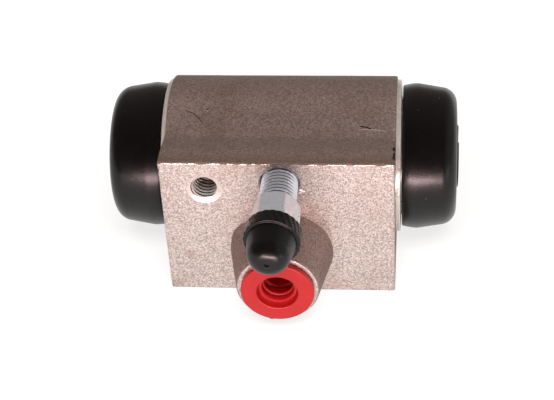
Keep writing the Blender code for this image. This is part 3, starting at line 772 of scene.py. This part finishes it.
# A tapped hole: one tool is a screw, so what it cuts away leaves the thread behind. The others are the
# drill below it and the countersink, whose rim a chattering tool leaves slightly wavy
def tapTools(name, crest, depth, bottom, end, sinkRadius, sinkDepth, tail, steps, matrix):
    pitch, rim = bodyValues["threadPitch"], bodyValues["sinkRim"]
    fast, slow = bodyValues["chatterTurns"]
    # The hole's thread roots take slot 4, a near-black painted shade with some dirt
    screw = threaded(crest, depth, pitch, bottom, end + pitch, 0.0, 12, steps, (3, 4), (0.55, 2.0))

    def reshape(radius, height, angle):
        wave = bodyValues["chatter"] * math.sin(fast * angle) * math.sin(slow * angle)
        return radius + (wave if height > end - sinkDepth else 0.0), height

    slope = (sinkRadius - crest) / (sinkDepth - rim)
    drill = tail[-1][0]
    low = end - sinkDepth - (crest - drill) / slope
    mouth = sinkRadius + 0.03
    profile = tail + [(drill, low), (crest, end - sinkDepth), (sinkRadius, end - rim), (mouth, end),
                      (mouth, end + 1), (0, end + 1)]
    tools = [screw, spun(profile, steps, reshape, slot=3)]
    return [makeObject(name + str(i), shape, bodyMaterials, matrix) for i, shape in enumerate(tools)]


def bleedTool():
    values = bodyValues
    hole, mouth, edge = values["bleedHole"], values["bleedMouth"], values["bleedMouthEdge"]
    passage, bottom = values["bleedPassageRadius"], values["bleedPassageDepth"]
    step = values["bleedMouthDepth"]
    profile = [(0, -bottom), (passage, -bottom), (passage, -values["bleedDepth"] - values["bleedCone"]),
               (hole, -values["bleedDepth"]), (hole, -step - 0.1), (mouth, -step), (mouth, -edge),
               (mouth + edge, 0), (mouth + edge, 1), (0, 1)]
    return makeObject("bleedHole", spun(profile, 72, slot=1), bodyMaterials,
                      onFace(layout["bleedX"], layout["bleedHeight"]))


# Marks of handling and casting: scratches and pits are cut out, and burrs stand proud. The cut scratches and
# pits mostly take slot 4, a near-black painted shade with some dirt. Each is a material slot, a radius, how
# far its middle lies above the metal, and a short line of points, or one point
wearValues = {
    "dents": [
        (4, 0.09, 0.03, [(-20.78, -6.06, 36.88), (-19.41, -6.54, 36.71), (-18.01, -7.55, 36.26),
                         (-16.82, -8.83, 35.6)]),
        (4, 0.14, 0.03, [(17.25, -9.21, 35.38), (18.54, -9.4, 35.27), (19.63, -9.77, 35.02)]),
        (4, 0.1, 0.0, [(3.08, -23.17, 34.07), (3.86, -23.17, 32.73)]),
        (4, 0.2, 0.0, [(-16.07, -5.78, 36.98)]),
        (4, 0.17, 0.0, [(-21.38, 1.44, 37.89)]),
        (4, 0.17, 0.0, [(-20.8, -2.49, 37.77)]),
        (4, 0.15, 0.0, [(-13.27, -1.47, 37.88)]),
        (4, 0.55, 0.0, [(24.9, -16.7, 35.4), (24.95, -18.1, 35.8)]),
        (4, 0.46, 0.0, [(25.0, -19.3, 36.0), (24.95, -21.3, 36.0)]),
        (4, 0.2, 0.0, [(-25.0, -23.17, 34.3), (-24.95, -23.17, 33.5)]),
        (4, 0.24, 0.0, [(-25.0, -23.17, 30.7)]),
        (0, 0.9, 0.5, [(-25.2, -23.3, -0.1)]),
    ],
    "burrs": [
        (1, 0.12, -0.05, [(17.48, -9.88, 34.95), (20.49, -9.96, 34.91), (23.28, -10.31, 34.66)]),
        (1, 0.26, -0.1, [(4.9, -23.17, 29.0), (5.9, -23.17, 28.6)]),
        (1, 0.24, -0.1, [(5.0, -23.17, 28.2), (5.4, -23.17, 28.6)]),
        (1, 0.16, -0.06, [(24.5, -6.1, 36.88)]),
        (1, 0.15, -0.06, [(24.5, -9.9, 34.95)]),
        (1, 0.18, -0.06, [(24.6, -12.9, 34.5)]),
        (1, 0.16, -0.05, [(-6.9, -5.2, 37.2)]),
        (1, 0.16, -0.05, [(-16.0, -6.1, 36.9)]),
        (1, 0.14, -0.05, [(9.2, -2.4, 37.8)]),
    ],
}


wearForm = {"rim": 8, "lean": 0.7, "tail": 0.6, "tailShare": 0.5, "ragged": 0.35}


# A closed sausage around each line of points, for a mark that is cut or added
def wearTools(kind):
    tools = []
    rim, lean, tail, share = wearForm["rim"], wearForm["lean"], wearForm["tail"], wearForm["tailShare"]
    for slot, radius, lift, points in wearValues[kind]:
        path = [Vector(point) + Vector((0, -lean * lift, lean * lift)) for point in points]
        if len(path) == 1:
            path = [path[0] - Vector((radius / 3, 0, 0)), path[0] + Vector((radius / 3, 0, 0))]
        along = (path[-1] - path[0]).normalized()
        side = along.orthogonal().normalized()
        up = along.cross(side)
        rings = [(path[0] - along * radius * tail, share)] + [(place, 1.0) for place in path]
        rings += [(path[-1] + along * radius * tail, share)]
        shape = bmesh.new()
        rows = []
        for n, (place, width) in enumerate(rings):
            row = []
            for i in range(rim):
                angle = math.tau * i / rim
                reach = radius * width * (1 + wearForm["ragged"] * noise.noise(place + Vector((i, n, 0))))
                row.append(shape.verts.new(place + reach * (side * math.cos(angle) + up * math.sin(angle))))
            rows.append(row)
        tube(shape, rows, [slot], slot)
        tools.append(makeObject(kind, shape, bodyMaterials))
    return tools


def makeBody():
    values = bodyValues
    body = makeObject("dressedBody", blockShape(), bodyMaterials)
    carve(body, [turnedEnd(-1), turnedEnd(1), bossShape()], "UNION")
    flat = values["threadFlat"]
    port = onFace(layout["inletX"], layout["inletHeight"])
    length, major, thread = values["bossLength"], values["portMajor"], values["portThread"]
    bottom, sink = length - values["portDepth"], values["portSink"]
    passage, passageEnd = values["passageRadius"], -values["passageDepth"]
    portTools = tapTools("port", major, thread, bottom + 1, length, major + sink, sink,
                         [(0, passageEnd), (passage, passageEnd), (passage, bottom),
                          (major - thread + flat, bottom)], 72, port)
    screw = onFace(values["screwX"], values["screwHeight"])
    depth, major, thread = values["screwDepth"], values["screwMajor"], values["screwThread"]
    screwTools = tapTools("screwHole", major, thread, 1 - depth, 0.0, values["sinkRadius"],
                          values["sinkDepth"], [(0, -depth - 1.5), (major - thread + flat, -depth)], 96,
                          screw)
    tools = [boreTool(), bleedTool()] + portTools + screwTools
    carve(body, tools + wearTools("dents"), "DIFFERENCE")
    carve(body, wearTools("burrs"), "UNION")
    dress(body, "housing", "cylinder_body")
    print("body:", len(body.data.polygons), "faces")


makeBody()

# The lip sits in the piston's nose groove, and the bead in the spigot's
bootValues = {
    "start": 26.3,
    "end": 38.25,
    "mouth": 15.83,
    "bulge": 0.42,
    "bulgeLength": 3.2,
    "taper": 0.85,
    "corner": 3.6,
    "wall": 1.6,
    "hole": 7.3,
    "lip": 6.5,
    "lipSpan": (36.8, 37.6),
    "grip": 13.5,
    "gripEnd": 30.8,
    "bead": 12.7,
    "beadSpan": (27.6, 28.6),
    "innerStart": 32.1,
    "sag": 0.05,
    "sagSize": (2.2, 5.0),
    "steps": 144,
}


def bootProfile():
    values = bootValues
    start, end, wall, corner = values["start"], values["end"], values["wall"], values["corner"]
    hole, lip, grip, bead = values["hole"], values["lip"], values["grip"], values["bead"]
    lipStart, lipEnd = values["lipSpan"]
    beadStart, beadEnd = values["beadSpan"]
    mouth = values["mouth"]
    crown = mouth + values["bulge"]
    shoulder = crown - values["taper"]
    inner = crown - wall
    edge = 0.2
    profile = [(mouth - 0.25, start), (mouth, start + edge)]
    for i in range(1, 9):
        share = i / 8
        profile.append((mouth + values["bulge"] * math.sin(share * math.pi / 2),
                        start + edge + values["bulgeLength"] * share))
    profile += arc((shoulder - corner, end - corner), corner, 4, 90, 16)
    profile += [(hole + edge, end), (hole, end - edge), (hole, lipEnd), (lip, lipEnd), (lip, lipStart),
                (hole, lipStart), (hole, end - wall)]
    profile += arc((inner - corner, end - wall - corner), corner, 90, 0, 8)
    profile += [(inner, values["innerStart"]), (grip, values["gripEnd"]), (grip, beadEnd), (bead, beadEnd),
                (bead, beadStart), (grip, beadStart), (grip, start)]
    return profile


def makeBoot(side, end):
    around, along = bootValues["sagSize"]

    def reshape(radius, height, angle):
        if radius > bootValues["grip"] + 0.1:
            place = Vector((math.cos(angle) * around, math.sin(angle) * around, height / along + side * 3))
            radius += bootValues["sag"] * noise.noise(place)
        return radius, height

    shape = spun(bootProfile(), bootValues["steps"], reshape)
    boot = makeObject("dressedBoot_" + end, shape, [rubber], alongBore(side), sharp=40)
    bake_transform(boot)
    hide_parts("dust_boot_" + end)


for side, end in ((-1, "left"), (1, "right")):
    makeBoot(side, end)
print("boots made")

pistonValues = {
    "start": 13.3,
    "end": 38.7,
    "land": 10.95,
    "landLength": 15.0,
    "landEdge": 0.5,
    "relief": 0.7,
    "reliefStart": 5.0,
    "reliefEnd": 10.0,
    "noseRadius": 7.0,
    "noseEdge": 0.35,
    "grooveStart": 2.2,
    "grooveEnd": 0.8,
    "grooveDepth": 0.8,
    "slotWidth": 6.0,
    "slotDepth": 5.2,
}


def makePiston(side, end):
    values = pistonValues
    start, tip, land, nose = values["start"], values["end"], values["land"], values["noseRadius"]
    relief, edge, noseEdge = values["relief"], values["landEdge"], values["noseEdge"]
    shoulder, low = start + values["landLength"], land - relief
    reliefStart, reliefEnd = start + values["reliefStart"], start + values["reliefEnd"]
    grooveStart, grooveEnd = tip - values["grooveStart"], tip - values["grooveEnd"]
    groove = nose - values["grooveDepth"]
    profile = [(0, start), (land - edge, start), (land, start + edge), (land, reliefStart),
               (low, reliefStart + relief), (low, reliefEnd - relief), (land, reliefEnd),
               (land, shoulder - edge), (land - edge, shoulder), (nose, shoulder), (nose, grooveStart),
               (groove, grooveStart), (groove, grooveEnd), (nose, grooveEnd)]
    profile += arc((nose - noseEdge, tip - noseEdge), noseEdge, 0, 90, 4)
    profile += [(0, tip)]
    piston = makeObject("dressedPiston_" + end, spun(profile, 96), [anodised], alongBore(side))
    slot = bmesh.new()
    bmesh.ops.create_cube(slot, size=1.0)
    depth = values["slotDepth"]
    size = Matrix.Diagonal((30, values["slotWidth"], depth + 2, 1))
    bmesh.ops.transform(slot, matrix=Matrix.Translation((0, 0, tip - depth / 2 + 1)) @ size, verts=slot.verts)
    carve(piston, [makeObject("slot", slot, [anodised], alongBore(side))], "DIFFERENCE")
    dress(piston, end + "_piston", "piston_" + end)


cupValues = {"back": 13.0, "outer": 10.9, "web": 2.0, "length": 4.4, "lip": 1.8}


def makeCup(side, end):
    values = cupValues
    back, outer, lip = values["back"], values["outer"], values["lip"]
    root, front = back - values["web"], back - values["length"]
    heel = outer - lip / 3
    profile = [(0, back), (heel - 0.4, back), (heel - 0.1, back - 0.1), (heel, back - 0.4), (heel, root),
               (outer, front + 0.9), (outer - 0.1, front + 0.3), (outer - 0.45, front),
               (outer - lip, front), (outer - lip * 1.15, root + 0.4), (outer - lip * 1.4, root),
               (0, root)]
    cup = makeObject("dressedCup_" + end, spun(profile, 96), [sealRubber], alongBore(side))
    dress(cup, end + "_piston", "cup_seal_" + end)


expanderValues = {"back": 10.7, "sheet": 0.6, "rim": 7.8, "skirt": 1.1, "pilot": 5.0, "pilotLength": 1.6}


def makeExpander(side, end):
    values = expanderValues
    back, sheet, rim, pilot = values["back"], values["sheet"], values["rim"], values["pilot"]
    front = back - sheet
    skirt, nose = front - values["skirt"], front - values["pilotLength"]
    profile = [(0, nose), (pilot - sheet, nose), (pilot - 0.2, nose + 0.15), (pilot, nose + sheet),
               (pilot, front), (rim - sheet, front), (rim, skirt), (rim + sheet / 2, skirt + sheet / 2),
               (rim - sheet / 2, back), (pilot - sheet, back), (pilot - sheet, nose + sheet),
               (0, nose + sheet)]
    expander = makeObject("dressedExpander_" + end, spun(profile, 72), [zinc], alongBore(side))
    dress(expander, end + "_piston", "cup_expander_" + end)


springValues = {"reach": 9.3, "radius": 6.1, "wire": 0.5, "turns": 6.5, "closePitch": 1.15, "ring": 12,
                "steps": 40}


# The spring is two half coils that meet in the middle
def makeSpringHalf(side, end):
    values = springValues
    turns, close, reach = values["turns"], values["closePitch"], values["reach"]
    rise = (2 * reach - 2 * close) / (turns - 2)
    count = round(turns / 2 * values["steps"])
    shape = bmesh.new()
    rows = []
    for i in range(count + 1):
        turn = turns / 2 * i / count
        height = rise * turn if turn < turns / 2 - 1 else reach - close * (turns / 2 - turn)
        angle = math.tau * turn + (0 if side > 0 else math.pi)
        out = Vector((math.cos(angle), math.sin(angle), 0))
        row = []
        for k in range(values["ring"]):
            around = math.tau * k / values["ring"]
            point = out * (values["radius"] + values["wire"] * math.cos(around))
            row.append(shape.verts.new((point.x, point.y, height + values["wire"] * math.sin(around))))
        rows.append(row)
    tube(shape, rows, [0], 0)
    half = makeObject("dressedSpring_" + end, shape, [springSteel], alongBore(side))
    height = layout["axisHeight"] / 1000
    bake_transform(half)
    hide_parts("return_spring")


for side, end in ((-1, "left"), (1, "right")):
    makePiston(side, end)
    makeCup(side, end)
    makeExpander(side, end)
    makeSpringHalf(side, end)
print("pistons, cups, expanders and spring made")

bleedValues = {
    "crest": 3.95,
    "threadDepth": 0.7,
    "pitch": 1.0,
    "threadStart": -7.2,
    "threadBlank": 1.3,
    "threadOut": 6.7,
    "fade": 0.5,
    "relief": 3.3,
    "reliefLength": 0.7,
    "coneTip": 1.0,
    "coneDepth": 1.3,
    "hexWidth": 9.0,
    "hexLength": 6.8,
    "hexTurn": 6.0,
    "hexChamfer": 0.4,
    "hexEdge": 0.12,
    "neck": 2.6,
    "neckLength": 2.3,
    "barb": 3.2,
    "barbLength": 1.0,
    "coneLength": 5.0,
    "tip": 2.1,
    "tipEdge": 0.15,
    "drill": 0.8,
    "drillChamfer": 0.25,
    "crossDrill": 0.56,
    "crossPlace": 0.65,
}


def hexagonShape(start):
    values = bleedValues
    corner = values["hexWidth"] / math.sqrt(3)
    shape = bmesh.new()
    ring = []
    for i in range(6):
        angle = math.radians(90 + values["hexTurn"] + 30 + 60 * i)
        ring.append(shape.verts.new((corner * math.cos(angle), corner * math.sin(angle), start)))
    grown = bmesh.ops.extrude_face_region(shape, geom=[shape.faces.new(ring)])
    top = [part for part in grown["geom"] if isinstance(part, bmesh.types.BMVert)]
    bmesh.ops.translate(shape, verts=top, vec=(0, 0, values["hexLength"]))
    upright = [edge for edge in shape.edges if abs(edge.verts[0].co.z - edge.verts[1].co.z) > 1]
    bmesh.ops.bevel(shape, geom=upright, offset=values["hexEdge"], segments=2, affect="EDGES", profile=0.5)
    return shape


# One turned screw: cone point, thread, relief, hexagon, and the barbed nipple that the cap hides. A hole
# runs down its middle and out sideways by the cone
def makeBleedScrew():
    values = bleedValues
    crest, depth, pitch, relief = values["crest"], values["threadDepth"], values["pitch"], values["relief"]
    neck, barb, tip, tipEdge = values["neck"], values["barb"], values["tip"], values["tipEdge"]
    start, last = values["threadStart"], values["threadOut"]
    first, coneEnd = start + values["threadBlank"], start - values["coneDepth"]
    hexStart = last + values["reliefLength"]
    hexEnd = hexStart + values["hexLength"]
    neckEnd = hexEnd + values["neckLength"]
    barbEnd = neckEnd + values["barbLength"]
    end = barbEnd + values["coneLength"]
    profile = [(0, coneEnd), (values["coneTip"], coneEnd),
               (relief, start), (relief, first), (relief, last + 0.05), (relief, hexStart + 0.4),
               (neck, hexStart + 0.5), (neck, neckEnd), (barb - 0.1, neckEnd), (barb, neckEnd + 0.1),
               (barb, barbEnd), (tip, end - tipEdge), (tip - tipEdge, end), (0, end)]
    place = onFace(layout["bleedX"], layout["bleedHeight"])
    screw = makeObject("dressedBleedScrew", spun(profile, 80), [zinc, rootShadeAndDirt], place)
    # The thread's roots take the second material, a darker zinc painted as shade with some dirt
    thread = threaded(crest, depth, pitch, first, last, values["fade"], 12, 96, (0, 1), (-1.0, 0.7))
    corner, chamfer = values["hexWidth"] / math.sqrt(3), values["hexChamfer"]
    hexagon = makeObject("hexagon", hexagonShape(hexStart), [zinc], place)
    flat = corner - 2 * chamfer
    blank = [(0, hexStart), (flat, hexStart), (corner, hexStart + 2 * chamfer),
             (corner, hexEnd - chamfer), (flat + chamfer, hexEnd), (0, hexEnd)]
    carve(hexagon, [makeObject("blank", spun(blank, 96), [zinc], place)], "INTERSECT")
    carve(screw, [makeObject("thread", thread, [zinc, rootShadeAndDirt], place), hexagon], "UNION")
    bore, mouth, reach = values["drill"], values["drill"] + values["drillChamfer"], 6
    drill = spun([(0, start), (bore, start), (bore, end - 0.2), (mouth, end + 0.05), (mouth, end + 1),
                  (0, end + 1)], 32)
    cross = spun([(0, -reach), (values["crossDrill"], -reach), (values["crossDrill"], reach), (0, reach)], 24)
    across = Matrix.Translation((0, 0, start + values["crossPlace"])) @ Matrix.Rotation(math.pi / 2, 4, "Y")
    tools = [makeObject("drill", drill, [zinc], place), makeObject("cross", cross, [zinc], place @ across)]
    carve(screw, tools, "DIFFERENCE", sharp=38)
    dress(screw, "bleeder", "bleed_screw")
    print("bleed screw:", len(screw.data.polygons), "faces")
    return hexEnd


hexEnd = makeBleedScrew()

capValues = {
    "gap": 0.7,
    "collar": 5.95,
    "collarLength": 3.4,
    "collarEdge": 0.16,
    "collarFoot": 0.25,
    "flutes": 24,
    "fluteDepth": 0.15,
    "fluteSlant": 0.1,
    "fluteSharpness": 0.7,
    "step": 0.7,
    "taper": 0.7,
    "length": 10.5,
    "crown": 1.1,
    "dimple": [(0, -0.35), (0.25, -0.35), (0.42, -0.2), (0.5, -0.02), (0.62, 0.04), (0.8, 0.0)],
    "inner": 3.7,
    "innerTip": 1.8,
    "wall": 1.5,
    "lean": 4.0,
}


def makeCap():
    values = capValues
    collar, collarEnd = values["collar"], values["collarLength"]
    edge, foot, length, crown = values["collarEdge"], values["collarFoot"], values["length"], values["crown"]
    inner, innerTip = values["inner"], values["innerTip"]
    dome = collar - values["step"]
    nose = dome - values["taper"] - crown
    innerEnd = length - values["wall"]
    profile = [(radius, length + height) for radius, height in values["dimple"]]
    profile += arc((crown, length - nose), nose, 90, 5, 20)
    profile += [(dome - 0.12, collarEnd + 0.5), (dome, collarEnd + 0.05), (collar - 0.3, collarEnd)]
    profile += arc((collar - edge, collarEnd - edge), edge, 80, 0, 4)
    profile += [(collar, h) for h in heights(0.4, collarEnd - 0.5, 0.5)[::-1]]
    profile += arc((collar - foot, foot), foot, 0, -90, 3)
    profile += [(inner, 0), (inner, innerEnd - innerTip), (innerTip, innerEnd), (0, innerEnd)]

    def reshape(radius, height, angle):
        if radius > collar - 0.2 and height < collarEnd:
            wave = abs(math.cos(values["flutes"] / 2 * (angle + values["fluteSlant"] * height)))
            radius -= values["fluteDepth"] * (1 - wave ** values["fluteSharpness"])
        return radius, height

    place = onFace(layout["bleedX"], layout["bleedHeight"], hexEnd + values["gap"])
    lean = Matrix.Rotation(-math.radians(values["lean"]), 4, "Z")
    origin = Matrix.Translation(place.translation)
    cap = makeObject("dressedBleedCap", spun(profile, values["flutes"] * 8, reshape), [rubber],
                     origin @ lean @ origin.inverted() @ place, sharp=40)
    dress(cap, "bleeder_cap", "bleed_cap")


makeCap()
print("cap made")

plugValues = {
    "gap": 0.2,
    "flange": 7.9,
    "flangeLength": 1.2,
    "flangeEdge": 0.35,
    "flangeFoot": 0.25,
    "shank": 4.35,
    "shankLength": 8.5,
    "shankTip": 0.6,
    "floor": 1.1,
    "sink": 4.4,
    "sinkDepth": 1.5,
    "sinkEdge": 0.3,
    "hole": 3.4,
    "rib": [(0.0, 0.0), (0.3, 0.15), (0.4, 0.4), (0.3, 0.65), (0.0, 0.8)],
    "ribPitch": 2.4,
    "nibAngle": 258,
    "nib": 0.3,
}


def makePlug():
    values = plugValues
    flange, front, hole, sink = values["flange"], values["flangeLength"], values["hole"], values["sink"]
    shank, length, floor = values["shank"], values["shankLength"], values["floor"]
    foot, edge, sinkEdge = values["flangeFoot"], values["flangeEdge"], values["sinkEdge"]
    step = front - values["sinkDepth"]
    profile = [(0, -length), (shank - values["shankTip"], -length), (shank - 0.35, -length + 0.2),
               (shank, -0.15), (shank + 0.15, 0)]
    profile += arc((flange - foot, foot), foot, -90, 0, 3)
    profile += arc((flange - edge, front - edge), edge, 0, 90, 5)
    profile += arc((sink + sinkEdge, front - sinkEdge), sinkEdge, 90, 180, 4)
    profile += [(sink - 0.2, step + 0.2), (sink - 0.4, step), (hole + 0.2, step), (hole, step - 0.2)]
    for i in range(2):
        top = step - values["ribPitch"] * (i + 0.6)
        profile += [(hole - inwards, top - down) for inwards, down in values["rib"]]
    profile += [(hole, -length + floor + 0.2), (hole - 0.3, -length + floor), (0, -length + floor)]
    place = onFace(layout["inletX"], layout["inletHeight"], bodyValues["bossLength"] + values["gap"])

    # The gate leaves a small nib on the flange's rim
    def reshape(radius, height, angle):
        away = abs(math.degrees(angle) - values["nibAngle"])
        return radius + (max(0.0, 1 - away / 4) * values["nib"] if radius > flange - 0.1 else 0.0), height

    plug = makeObject("dressedPlug", spun(profile, 112, reshape), [redPlastic], place, sharp=45)
    dress(plug, "inlet_plug", "port_plug")


makePlug()
print("plug made")

studioValues = {
    "floor": "#A8A6A4",
    "floorReach": 4000.0,
    "floorDrop": 0.05,
    "seenGlow": 0.76,
    "mirroredGlow": 0.58,
    "front": "#4E4642",
    "right": "#B4B1AF",
    "rightRange": (0.3, 0.85),
    "behind": "#8C847F",
    "behindRange": (-0.75, 0.85),
    "cardSize": (0.235, 0.026),
    "cardPlace": (-0.003, -0.30, 0.014),
    "cardPower": 0.9,
    "cardColour": "#FFDCDB",
    "sideSize": (0.12, 0.06),
    "sidePlace": (0.28, -0.24, 0.032),
    "sidePower": 0.035,
    "fillSize": (0.5, 0.3),
    "fillPlace": (0.05, -0.42, 0.72),
    "fillPower": 5.2,
}


def addLight(name, size, place, power, colour, tilt, turn=0.0):
    light = bpy.data.lights.new(name, "AREA")
    light.shape = "RECTANGLE"
    light.size, light.size_y = size
    light.energy = power
    light.color = linear(colour)[:3]
    item = bpy.data.objects.new(name, light)
    item.location = place
    item.rotation_euler = (math.radians(tilt), 0, math.radians(turn))
    item.visible_camera = False
    bpy.context.scene.collection.objects.link(item)
    return item


# The floor is white paper. Its own glow shows to the eye and in reflections, and doesn't light the part
def makeFloor():
    values = studioValues
    shape = bmesh.new()
    bmesh.ops.create_grid(shape, x_segments=1, y_segments=1, size=values["floorReach"])
    material, shader = newMaterial("whitePaper")[:2]
    path = addNode(material, "ShaderNodeLightPath", {})
    seen = addNode(material, "ShaderNodeMath", {0: path.outputs["Is Camera Ray"], 1: values["seenGlow"]},
                   operation="MULTIPLY")
    mirrored = addNode(material, "ShaderNodeMath",
                       {0: path.outputs["Is Glossy Ray"], 1: path.outputs["Is Transmission Ray"]},
                       operation="ADD", use_clamp=True)
    glow = addNode(material, "ShaderNodeMath",
                   {0: mirrored.outputs[0], 1: values["mirroredGlow"], 2: seen.outputs[0]},
                   operation="MULTIPLY_ADD")
    setInputs(material, shader, {"Base Color": linear(values["floor"]), "Roughness": 0.9,
                                 "Specular IOR Level": 0.1, "Emission Color": linear("#FFFFFF"),
                                 "Emission Strength": glow.outputs[0]})
    floor = makeObject("floor", shape, [material], Matrix.Translation((0, 0, -values["floorDrop"])))


# The room is dim and warm in front, grows lighter overhead and behind, and is pale to the right
def makeRoom():
    values = studioValues
    world = bpy.data.worlds.new("studio")
    bpy.context.scene.world = world
    world.use_nodes = True
    direction = addNode(world, "ShaderNodeTexCoord", {}).outputs["Generated"]
    split = addNode(world, "ShaderNodeSeparateXYZ", {"Vector": direction})
    light = linear(values["front"])
    for side, axis in (("behind", "Y"), ("right", "X")):
        start, end = values[side + "Range"]
        share = addNode(world, "ShaderNodeMapRange",
                        {"Value": split.outputs[axis], "From Min": start, "From Max": end},
                        interpolation_type="SMOOTHSTEP")
        light = addNode(world, "ShaderNodeMix",
                        {mixFactor: share.outputs["Result"], mixColourA: light,
                         mixColourB: linear(values[side])}, data_type="RGBA").outputs[mixColourOut]
    world.node_tree.links.new(light, world.node_tree.nodes["Background"].inputs["Color"])


# A low bright card stands in front and makes the band along the boots, and a smaller one stands to its
# right. The fill is for what is not shiny
def makeLights():
    values = studioValues
    addLight("frontCard", values["cardSize"], values["cardPlace"], values["cardPower"],
             values["cardColour"], 90)
    addLight("sideCard", values["sideSize"], values["sidePlace"], values["sidePower"], "#FFFFFF", 90, 50)
    fill = addLight("softFill", values["fillSize"], values["fillPlace"], values["fillPower"], "#FFFFFF", 30)
    fill.visible_glossy = False


cameraValues = {
    "place": (30.33, -277.67, 240.76),
    "yaw": -0.118798,
    "pitch": 0.697242,
    "roll": -0.064914,
    "focal": 101.97,
}


def makeCamera():
    values = cameraValues
    camera = bpy.data.cameras.new("camera")
    camera.lens = values["focal"]
    camera.clip_start = 0.01
    item = bpy.data.objects.new("camera", camera)
    # A level camera looks along +Y. It is turned, then tilted down, then rolled
    looking = Matrix(((1, 0, 0), (0, 0, -1), (0, 1, 0)))
    turn = looking @ Matrix.Rotation(values["yaw"], 3, "Z")
    tilt = Matrix.Rotation(values["roll"], 3, "Z") @ Matrix.Rotation(values["pitch"], 3, "X") @ turn
    facing = tilt.transposed() @ Matrix.Diagonal((1, -1, -1))
    item.matrix_world = Matrix.Translation(Vector(values["place"]) / 1000) @ facing.to_4x4()
    bpy.context.scene.collection.objects.link(item)
    bpy.context.scene.camera = item


makeFloor()
makeRoom()
makeLights()
makeCamera()
bpy.context.scene.view_settings.view_transform = "Standard"
print("studio and camera made")
